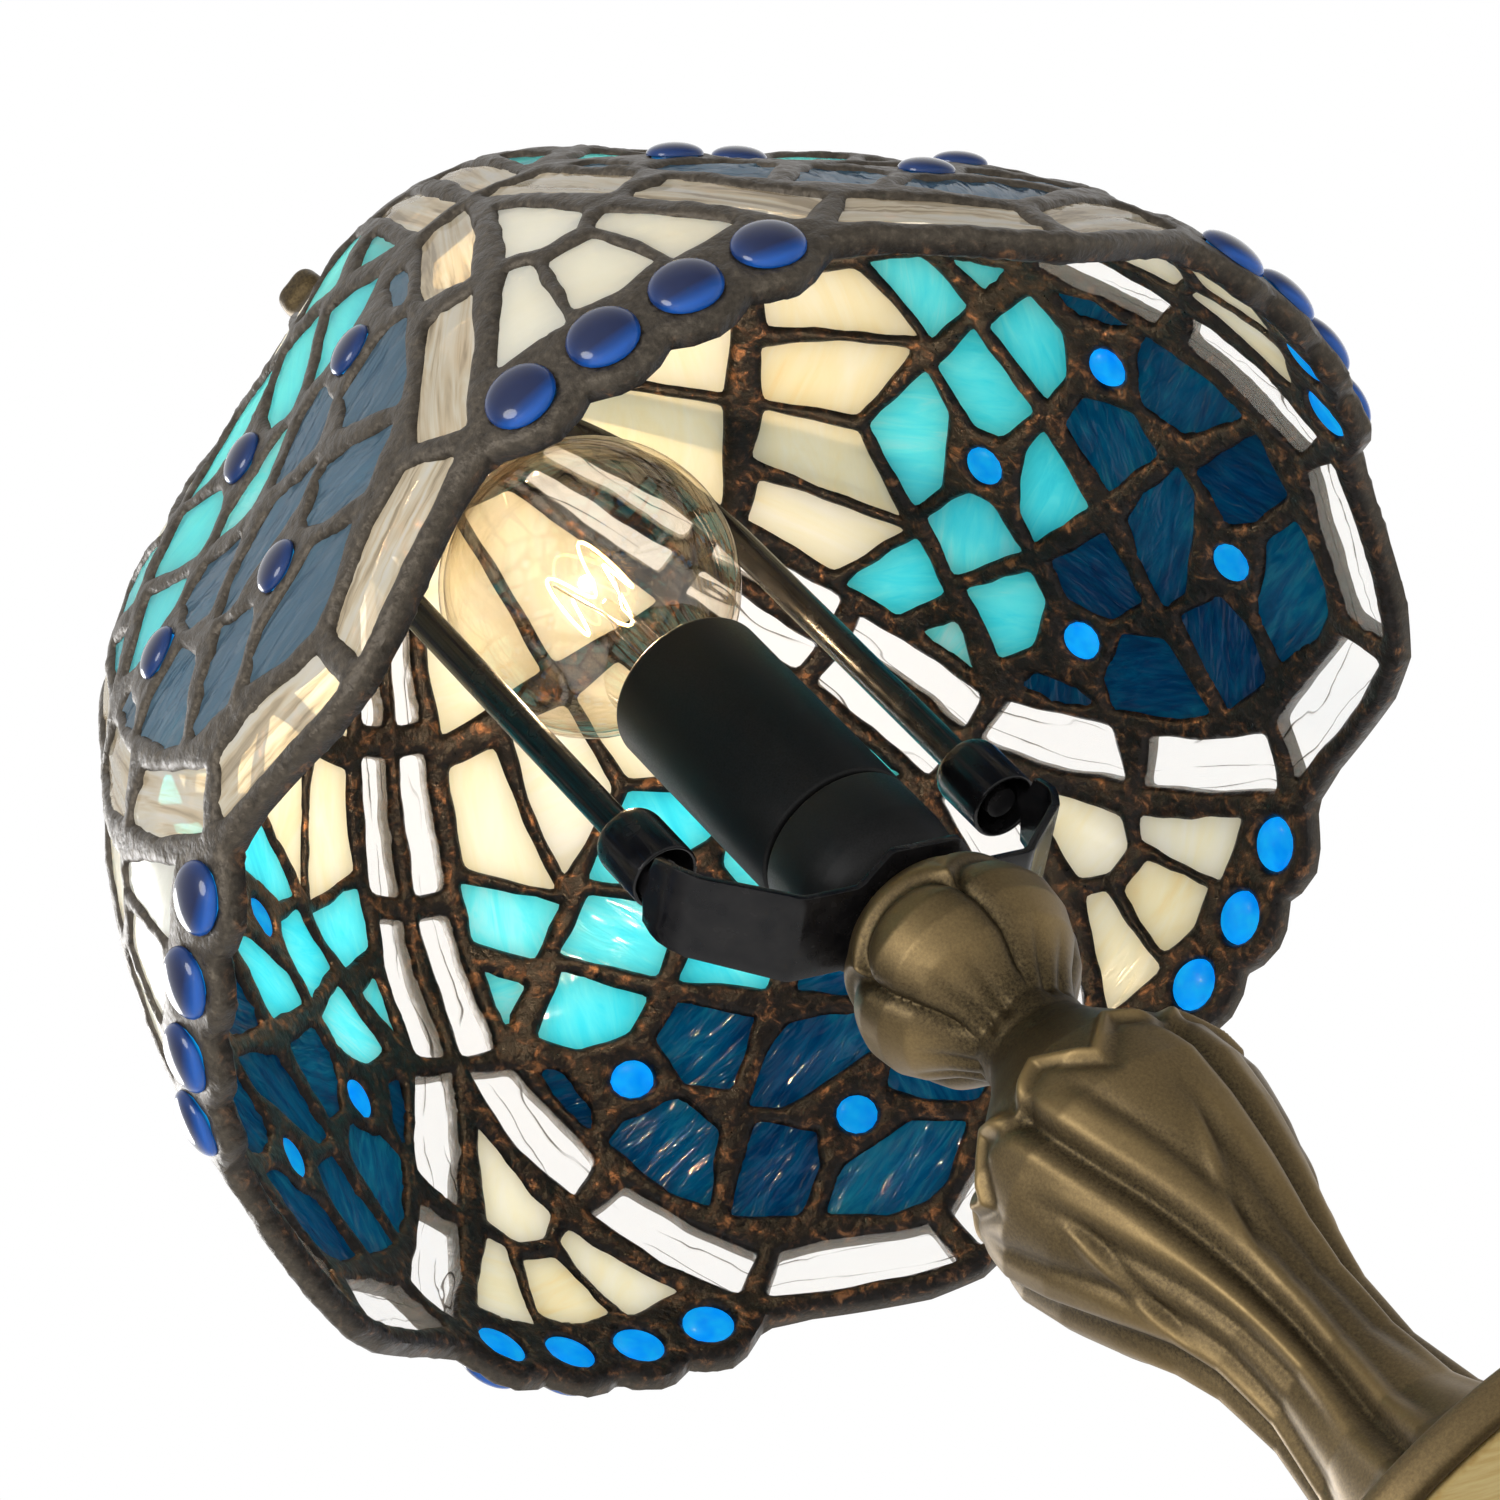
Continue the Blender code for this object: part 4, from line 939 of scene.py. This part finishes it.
def shade_fittings():
    z = CAP_UNDERSIDE
    cap = turned("vase_cap", [
        (4, z + 2.0), (9, z + 2.0), (15, z + 1.9), (20, z + 1.4), (24, z - 0.6), (25.6, z - 3.0),
        (24.4, z - 3.2), (22.6, z - 0.8), (21, z), (4, z),
    ], MATS["bronze"], "shade")
    # painted light: the cap is lighter where it faces upwards
    add_rub_and_painted_light(cap, [0.45 + 0.25 * v.normal.z for v in cap.data.vertices])
    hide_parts("shade_cap")
    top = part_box("finial")[1].z / MM
    bottom = z + 2.3
    finial = turned("cast_finial", [
        (0, top), (3.3, top - 0.1), (3.9, top - 0.7), (4.2, top - 3.4), (3.7, top - 5.4), (4.6, top - 8),
        (5.3, top - 11), (4.4, top - 14), (3.2, top - 16), (3.6, top - 17.6), (5.6, top - 20),
        (6.0, top - 22.4), (5.2, bottom + 4.2), (6.4, bottom + 2.6), (7.5, bottom + 1.6), (7.5, bottom),
        (3.3, bottom), (3.3, bottom + 12), (0, bottom + 12.6),
    ], MATS["bronze"], "finial", steps=60)
    for vert in finial.data.vertices:
        if vert.co.z > (top - 6) * MM:
            a = math.atan2(vert.co.y, vert.co.x)
            squared = 1 + 0.07 * math.cos(4 * a + 0.6) + 0.03 * math.sin(3 * a)
            vert.co.x, vert.co.y = vert.co.x * squared, vert.co.y * squared
    add_rub_and_painted_light(finial, [0.24 + 0.08 * math.sin(v.co.z / MM) for v in finial.data.vertices])
    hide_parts("finial")


def wire(name, points, radius, mat, body, resolution=5):
    """A round bar along a smooth curve through points (m)."""
    curve = bpy.data.curves.new(name, "CURVE")
    curve.dimensions = "3D"
    curve.bevel_depth = radius
    curve.bevel_resolution = resolution
    curve.use_fill_caps = True
    spline = curve.splines.new("POLY")
    spline.points.add(len(points) - 1)
    for target, place in zip(spline.points, points):
        target.co = (*place, 1.0)
    spline.use_smooth = True
    curve.materials.append(mat)
    obj = new_object(name, curve)
    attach(obj, body)
    return obj


def harp():
    rise = HARP_TOP - LEG_TOP
    half = [(LEG_X, LEG_BOTTOM + (LEG_TOP - LEG_BOTTOM) * k / 6) for k in range(7)]
    for k in range(1, 30):
        a = math.pi / 2 * k / 30
        half.append((LEG_X * math.cos(a) ** 0.82, LEG_TOP + rise * math.sin(a) ** 0.94))
    points = half + [(0.0, HARP_TOP)] + [(-x, z) for x, z in reversed(half)]
    bow = wire("harp_wire", [(x * MM, 0.0, z * MM) for x, z in points], WIRE * MM, MATS["black"], "harp", 6)
    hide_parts("harp_bow")
    plate = HARP_TOP + WIRE + GAP
    top = turned("harp_stud_plate", [
        (0, CAP_UNDERSIDE + 12.5), (2.2, CAP_UNDERSIDE + 12.5), (2.9, CAP_UNDERSIDE + 11.6),
        (2.9, CAP_UNDERSIDE - GAP), (8.5, CAP_UNDERSIDE - GAP), (8.5, plate), (0, plate),
    ], MATS["black"], "harp", steps=48)
    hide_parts("harp_top_plate")
    low, high, r = 187.5, 199.0, 5.25
    for name, side in (("ferrule_right", 1), ("ferrule_left", -1)):
        collar = turned(f"{name}_sleeve", [
            (3.6, high), (4.5, high - 0.4), (5.0, high - 1.1), (r, high - 2.2), (r, low), (r - 0.65, low),
            (r - 0.65, high - 1.6), (2.75, high - 1.1), (2.75, high),
        ], MATS["black"], name, steps=56, at=(side * LEG_X * MM, 0.0), cut=0.25)
        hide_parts(name)


def saddle():
    """Pressed sheet strip: chamfered middle under the socket, arms, and upturned ears."""
    low, half_sheet = SADDLE_Z, 0.6
    ear = LEG_X + WIRE + GAP + half_sheet
    half = [
        (5.2, low, 12.2), (5.9, low, 12.0), (9.4, low, 7.6), (10.4, low, 7.0), (18.4, low, 7.0),
        (19.6, low + 0.4, 7.0), (20.6, low + 1.4, 7.0), (ear - 2.2, 178.2, 6.6), (ear - 0.9, 180.4, 6.5),
        (ear - 0.2, 182.2, 6.3), (ear, 183.6, 6.0), (ear, 185.8, 5.4), (ear, 186.6, 2.6), (ear, 187.1, 1.9),
        (ear, 196.4, 1.9),
    ]
    bm = bmesh.new()
    columns = 8
    for side in (1, -1):
        rows = []
        for x, z, w in half:
            across = [w * (2 * j / columns - 1) for j in range(columns + 1)]
            rows.append([bm.verts.new((side * x * MM, y * MM, z * MM)) for y in across])
        for row, following in zip(rows, rows[1:]):
            for j in range(columns):
                bm.faces.new((row[j], following[j], following[j + 1], row[j + 1]))
    middle_plate(bm, low, columns)
    bmesh.ops.remove_doubles(bm, verts=bm.verts[:], dist=0.02 * MM)
    obj = finish_bmesh("saddle_strip", bm, MATS["sheet"], "stand", 30.0)
    solid = obj.modifiers.new("thickness", "SOLIDIFY")
    solid.thickness, solid.offset, solid.use_even_offset = 2 * half_sheet * MM, 0.0, True
    bevel = obj.modifiers.new("edges", "BEVEL")
    bevel.width, bevel.segments = 0.25 * MM, 2
    bevel.limit_method, bevel.angle_limit = "ANGLE", math.radians(50)
    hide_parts("harp_saddle")


def middle_plate(bm, low, columns):
    """The saddle's middle: from the round hole out to the rectangle between its two arms."""
    reach_x, reach_y, bore = 5.2, 12.2, 5.1
    square = [(reach_x, reach_y * (2 * j / columns - 1)) for j in range(columns + 1)]
    square += [(reach_x * (1 - 2 * j / 4), reach_y) for j in range(1, 4)]
    square += [(-x, -y) for x, y in square]
    outer = [bm.verts.new((x * MM, y * MM, low * MM)) for x, y in square]
    inner = []
    for x, y in square:
        length = math.hypot(x, y)
        inner.append(bm.verts.new((x / length * bore * MM, y / length * bore * MM, low * MM)))
    for k in range(len(square)):
        m = (k + 1) % len(square)
        bm.faces.new((inner[k], inner[m], outer[m], outer[k]))


# ---------------------------------------------------------------- socket and bulb

FILAMENT_Z = 255.5


def socket():
    r, bottom, split, top, rod = 12.4, 169.8, 187.0, 229.0, 5.1
    cup = turned("lampholder_cup", [
        (r, split - 0.2), (r, bottom + 8), (r - 0.4, bottom + 5.2), (r - 1.3, bottom + 2.8),
        (r - 2.8, bottom + 0.9), (r - 4.6, bottom), (rod, bottom), (rod, bottom + 8), (r - 2, bottom + 9),
        (r - 2, split),
    ], MATS["plastic"], "stand", steps=96)
    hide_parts("socket_cup")
    sleeve = turned("lampholder_sleeve", [
        (r - 0.8, top), (r, top - 0.8), (r, split + 0.5), (r - 2, split + 0.3), (r - 2, top - 0.4),
        (r - 1.5, top),
    ], MATS["plastic"], "stand", steps=96)
    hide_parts("socket_sleeve")


def threads(name, radius, bottom, top, pitch, depth, mat, body, wall):
    """A thin-walled rolled thread, as on a lamp cap: rings that swell and pinch along its height."""
    count = int((top - bottom) / pitch * 8)
    outer = []
    for k in range(count, -1, -1):
        height = bottom + (top - bottom) * k / count
        pinch = 0.5 + 0.5 * math.cos(2 * math.pi * (height - bottom) / pitch)
        outer.append((radius - depth * pinch, height))
    inner = [(r - wall, h) for r, h in reversed(outer)]
    return turned(name, outer + inner, mat, body, steps=48, round_steps=0)


def bulb():
    centre, radius, wall = 256.6, 22.5, 0.8
    angles = np.linspace(math.pi, math.asin(9.6 / radius), 34)
    arc = [(radius * math.sin(a), centre - radius * math.cos(a)) for a in angles]
    arc[0] = (0, centre + radius)
    inner = [(max(0.0, r - wall * r / radius), centre + (z - centre) * (radius - wall) / radius)
             for r, z in reversed(arc)]
    inner[-1] = (0, centre + radius - wall)
    neck = [(9.2, 233.6), (8.8, 231), (8.5, 228.6), (8.4, 225), (8.4, 219.5)]
    neck += [(7.6, 219.5), (7.6, 225), (7.7, 228.6), (8.0, 231.2), (8.4, 233.8)]
    envelope = turned("bulb_globe", arc + neck + inner, MATS["bulb"], "bulb", steps=96, round_steps=0)
    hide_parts("bulb_envelope")
    envelope.visible_shadow = False
    stem = turned("bulb_glass_stem", [
        (0, 252.4), (0.9, 252), (1.1, 250), (2.0, 246), (2.4, 240), (3.0, 234), (4.6, 227), (6.2, 221),
        (6.2, 219.8), (0, 219.8),
    ], MATS["bulb"], "bulb", steps=40)
    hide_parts("bulb_stem")
    cap = threads("bulb_threads", 6.7, 203.2, 217.4, 2.8, 0.5, MATS["brass"], "bulb", 0.5)
    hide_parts("bulb_screw_base")
    shell = threads("shell_threads", 7.6, 197.0, 217.0, 2.8, 0.25, MATS["brass"], "stand", 0.4)
    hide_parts("socket_screw_shell")
    for side, across in (("a", 1), ("b", -1)):
        bends = ((1.6, 246), (1.76, 250), (3.64, 254), (5.2, 258.4))
        points = [(across * x * MM, 0.0, z * MM) for x, z in bends]
        lead = wire(f"lead_wire_{side}", points, 0.25 * MM, MATS["steel"], "bulb", 2)
    waves, steps = 4, 64
    points = []
    for k in range(steps + 1):
        a = 2 * math.pi * k / steps
        out = 4.9 + 0.6 * math.sin(3 * a)
        up = FILAMENT_Z + 5.2 * math.cos(waves * a + 0.3)
        points.append((out * math.cos(a) * MM, out * math.sin(a) * MM, up * MM))
    coil = wire("filament_coil", points, 0.24 * MM, MATS["filament"], "bulb", 3)


# ---------------------------------------------------------------- column and foot

# height, mean radius and swell of the lobes along the baluster
COLUMN = np.array((
    (24.3, 26.5, 0.0), (26, 24.6, 0.5), (31, 20.5, 0.9), (38, 15.6, 1.0), (47, 12.9, 0.9), (60, 11.3, 0.8),
    (72, 11.7, 0.9), (80, 13.3, 1.0), (90, 16.7, 1.2), (100, 19.7, 1.4), (108, 21.3, 1.5), (115, 20.8, 1.5),
    (121, 18.2, 1.3), (127, 14.0, 0.9), (131, 11.2, 0.5), (135, 9.2, 0.2), (139, 9.2, 0.2), (143, 11.5, 0.7),
    (147, 14.6, 1.2), (151, 16.3, 1.3), (155, 16.8, 1.3), (159, 16.0, 1.3), (163, 14.5, 1.1),
    (166.4, 12.0, 0.8), (168, 9.4, 0.3),
))
LEAN, LEAN_TOWARDS = 2.8, (-0.714, 0.700)       # how far the vase stands off the axis, and in which direction


def crease(offset, width):
    """Depth from 0 to 1 of a soft-bottomed groove, by distance from its line."""
    return np.exp(1 - np.sqrt(1 + (1.6 * offset / width) ** 2))


def ridge(offset, width):
    """Height from 0 to 1 of a round fold, by distance from its line."""
    return np.exp(-(offset / width) ** 2)


def span(value, start, end):
    """0 at start, 1 at end, smooth between; start may be above end."""
    share = np.clip((value - start) / (end - start), 0, 1)
    return share * share * (3 - 2 * share)


def leaf_relief(angle, height, radius):
    """Five long leaves that wrap the vase: M-shaped tips round the shoulder, folds down to the foot."""
    drift = 0.17 * np.sin((height - 40) / 20) + 0.14 * span(height, 104, 64)
    lobe = np.mod((angle - drift) * LOBES / (2 * math.pi), 1.0) * 2 - 1
    to_mm = radius * math.pi / LOBES
    tip = 117.0 + 6.0 * (1 - np.abs(1 - 2 * np.abs(lobe))) - 2.5 * (1 - np.abs(lobe))
    below = span(tip - height, -0.7, 0.9)
    leaf = below * span(height, 22, 34)
    relief = -0.9 * (1 - below) * span(height, 108, 112)
    relief += 0.8 * ridge(tip - height - 1.6, 1.3) * span(height, 106, 111)
    relief -= 0.5 * crease(tip - height - 4.6, 1.6) * below
    relief -= 1.7 * crease((1 - np.abs(lobe)) * to_mm, 1.9) * leaf
    relief += 0.5 * ridge((1 - np.abs(lobe)) * to_mm - 3.0, 1.6) * leaf
    for side, low, high in ((-1, 34, 116), (1, 46, 108)):
        line = side * (0.42 - 0.17 * span(height, 116, 84) + 0.14 * span(height, 80, 46))
        off = (np.mod(lobe - line + 1, 2) - 1) * to_mm
        along = span(height, low, low + 16) * span(height, high, high - 12)
        relief -= 0.85 * crease(off, 1.7) * along * below
        relief += 0.45 * ridge(off - side * 2.4, 1.6) * along * below
    fold = (height - 88 - 22 * (lobe + 0.2)) * 0.75
    middle = span(np.abs(lobe + 0.1), 0.55, 0.25) * leaf
    return relief + (0.55 * ridge(fold, 1.7) - 0.45 * crease(fold + 3.0, 1.8)) * middle


def bud_relief(angle, height, radius):
    """Five swollen lobes under a scalloped cap, with short folds at the neck."""
    lobe = np.mod((angle + 0.5 + 0.06 * np.sin(height / 4)) * LOBES / (2 * math.pi), 1.0) * 2 - 1
    to_mm = radius * math.pi / LOBES
    bud = span(height, 138, 144) * span(height, 168.5, 165)
    scallop = 155.5 + 5.0 * np.sqrt(np.clip(1 - lobe * lobe, 0, 1))
    under = span(scallop - height, -1.0, 1.0)
    relief = (1.5 * np.sqrt(np.clip(1 - np.abs(lobe) ** 2.5, 0, 1)) - 1.0) * bud * under
    relief -= 1.3 * crease(scallop - height, 1.7) * bud
    relief += 0.5 * ridge(scallop - height + 2.6, 1.8) * bud
    relief -= 0.8 * crease((1 - np.abs(lobe)) * to_mm, 1.5) * bud * under
    for line, low in ((-0.45, 149), (0.15, 147)):
        along = span(height, low, low - 7) * span(height, 136, 139)
        relief -= 0.9 * crease((lobe - line) * to_mm, 1.0) * along
    return relief


def column():
    """Cast baluster: long leaves folded round the vase, a five-lobed bud on top."""
    around, bottom, top, bore = 320, 24.3, 168.0, 5.2
    z = np.concatenate((np.linspace(bottom, top, 330), (top, bottom)))
    zz, aa = np.meshgrid(z, np.linspace(0, 2 * math.pi, around, endpoint=False), indexing="ij")
    mean, lobe = np.interp(zz, COLUMN[:, 0], COLUMN[:, 1]), np.interp(zz, COLUMN[:, 0], COLUMN[:, 2])
    relief = leaf_relief(aa, zz, mean) + bud_relief(aa, zz, mean) + lobe * 0.5
    radius = mean + relief
    lean = LEAN * span(zz, 26, 48) * span(zz, 138, 112)
    radius[-2:], relief[-2:], lean[-2:] = bore, 0, 0
    x, y = radius * np.cos(aa) + LEAN_TOWARDS[0] * lean, radius * np.sin(aa) + LEAN_TOWARDS[1] * lean
    bm = bmesh.new()
    rings = [[bm.verts.new(v) for v in ring * MM] for ring in np.stack((x, y, zz), axis=-1)]
    for ring, following in zip(rings, rings[1:] + rings[:1]):
        for k in range(around):
            m = (k + 1) % around
            bm.faces.new((ring[k], ring[m], following[m], following[k]))
    obj = finish_bmesh("leaf_column", bm, MATS["bronze"], "stand", 80.0)
    # lighter on raised relief and darker in the folds, partly rubbed finish and partly painted highlight and
    # shade; the bud is also made lighter and the neck darker, by height
    bud_and_neck = 0.22 * span(zz, 140, 147) - 0.30 * span(zz, 120, 127) * span(zz, 143, 137)
    rub_and_painted_light = 0.5 + 0.30 * (relief - 0.5 * lobe) + 0.05 * np.sin(zz / 9 + 2 * aa) + bud_and_neck
    add_rub_and_painted_light(obj, np.clip(rub_and_painted_light, 0, 1).ravel())
    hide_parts("column_casting")


def foot():
    """Round foot: rounded band, soft waves rising to the column's seat, hollow below."""
    outline = [
        (27, 24.0), (31, 22.0), (40, 18.5), (51, 13.0), (58.5, 8.5), (61.8, 6.8), (62.9, 5.2), (63, 3.4),
        (62.8, 1.4), (62.2, 0.6), (60.6, 0.6), (60.6, 1.8), (58.6, 1.8), (56.1, 5.3), (48.6, 9.8),
        (37.6, 15.3), (28.6, 18.8), (12, 20.0), (5.2, 20.0), (5.2, 24.0),
    ]
    obj = turned("round_foot", outline, MATS["bronze"], "stand", steps=160, cut=0.6)
    rub_and_painted_light = []
    for vert in obj.data.vertices:
        x, y, z = (c / MM for c in vert.co)
        r, a = math.hypot(x, y), math.atan2(y, x)
        wave = math.cos(10 * a) * np.clip((r - 28) / 8, 0, 1) * np.clip((60 - r) / 5, 0, 1)
        if vert.normal.z > 0.2 and z > 5.5 and r > 27:
            vert.co.z += 0.7 * wave * MM
        # raised waves lighter: partly rubbed finish, partly painted highlight
        rub_and_painted_light.append(0.5 + 0.2 * wave)
    add_rub_and_painted_light(obj, rub_and_painted_light)
    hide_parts("base_casting")
    outline = [(0, 1.5), (60.3, 1.5), (60.3, 0), (0, 0)]
    pad = turned("foot_pad", outline, MATS["pad"], "stand", steps=120, cut=0.4)
    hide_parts("base_pad")


def carried_over():
    """Better materials for the small CAD nodes that stay as they are."""
    looks = {
        "cord_bushing": "plastic", "lamp_rod": "steel", "rod_washer": "steel", "rod_nut": "brass",
        "socket_body": "plastic", "socket_contact": "brass", "bulb_contact": "brass",
    }
    for node, look in looks.items():
        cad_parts[node].data.materials.clear()
        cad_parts[node].data.materials.append(MATS[look])


# ---------------------------------------------------------------- stage, lights, camera

def floor():
    """Pale floor whose underside lets everything through, because the camera stands below it.

    It is open under the foot, so that light reaches the pad's underside."""
    mesh = bpy.data.meshes.new("floor")
    steps, opening, reach = 96, 60.2 * MM, 3.0
    turns = [2 * math.pi * k / steps for k in range(steps)]
    verts = [(r * math.cos(a), r * math.sin(a), 0) for r in (opening, reach) for a in turns]
    faces = [(k, k + steps, (k + 1) % steps + steps, (k + 1) % steps) for k in range(steps)]
    mesh.from_pydata(verts, [], faces)
    obj = new_object("floor", mesh)
    obj.location.z = -0.2 * MM
    look = Look("pale_floor", roughness=0.6)
    look.colour(look.ramp(look.noise(look.coords((0.02, 0.02, 0.02)), 1.0, 3.0),
                          (0.2, (0.84, 0.84, 0.83)), (0.8, (0.88, 0.88, 0.87))))
    open_below = look.node("ShaderNodeBsdfTransparent").outputs[0]
    look.surface(look.node("ShaderNodeNewGeometry").outputs["Backfacing"], open_below)
    mesh.materials.append(look.mat)


def area_light(name, place, target, size, power):
    data = bpy.data.lights.new(name, "AREA")
    data.shape, data.size, data.energy = "DISK", size, power
    obj = new_object(name, data)
    obj.location = place
    obj.rotation_euler = (Vector(target) - Vector(place)).to_track_quat("-Z", "Y").to_euler()


BASE_LIGHT = 0.42       # brightness of the surroundings on every side
# direction, focus and strength of each soft brightening of the surroundings
SOFT_LIGHTS = (((0.52, 0.54, 0.66), 1.0, 0.85), ((-0.73, -0.62, 0.27), 2.0, 0.45))


def lights():
    """A white backdrop for the eye; for lighting, softer all round, with a bright back and a key side."""
    world = bpy.data.worlds.new("studio")
    world.use_nodes = True
    bpy.context.scene.world = world
    nodes = Nodes(world.node_tree)
    direction = nodes.node("ShaderNodeTexCoord").outputs["Generated"]
    value = BASE_LIGHT
    for towards, focus, strength in SOFT_LIGHTS:
        dot = nodes.node("ShaderNodeVectorMath")
        dot.operation = "DOT_PRODUCT"
        nodes.link(direction, dot.inputs[0])
        dot.inputs[1].default_value = Vector(towards).normalized()
        facing = nodes.math("POWER", nodes.math("MAXIMUM", dot.outputs["Value"], 0.0), focus)
        value = nodes.math("ADD", nodes.math("MULTIPLY", facing, strength), value)
    seen = nodes.node("ShaderNodeMix")
    nodes.link(nodes.node("ShaderNodeLightPath").outputs["Is Camera Ray"], seen.inputs[0])
    nodes.link(value, seen.inputs[2])
    seen.inputs[3].default_value = 1.0
    background = world.node_tree.nodes["Background"]
    background.inputs["Color"].default_value = (1, 1, 1, 1)
    nodes.link(seen.outputs[0], background.inputs["Strength"])
    middle = (0, 0, 0.2)
    area_light("key", (-1.0, -0.35, 0.35), middle, 0.5, 6.0)
    area_light("rim", (-0.2, 0.7, 0.9), middle, 0.5, 6.0)
    lamp = bpy.data.lights.new("bulb_light", "POINT")
    lamp.energy, lamp.color, lamp.shadow_soft_size = 0.19, (1.0, 0.72, 0.42), 1.2 * MM
    obj = new_object("bulb_light", lamp)
    obj.location.z = FILAMENT_Z * MM
    obj.visible_camera = obj.visible_transmission = False


def camera():
    """Below and in front of the lamp, looking up along its side, turned so that the lamp leans left."""
    data = bpy.data.cameras.new("camera")
    data.lens, data.sensor_width = 166.0, 36.0
    data.clip_start, data.clip_end = 0.05, 20.0
    obj = new_object("camera", data)
    place, target, roll = Vector((-0.5220, -0.5332, -0.4463)), Vector((0.0001, -0.0001, 0.2115)), 44.24
    turn = (target - place).to_track_quat("-Z", "Y").to_matrix().to_4x4()
    obj.matrix_world = Matrix.Translation(place) @ turn @ Matrix.Rotation(math.radians(-roll), 4, "Z")
    bpy.context.scene.camera = obj


camera()
floor()
lights()
shade()
shade_fittings()
harp()
saddle()
socket()
bulb()
column()
foot()
carried_over()
bpy.context.scene.view_settings.view_transform = "Standard"
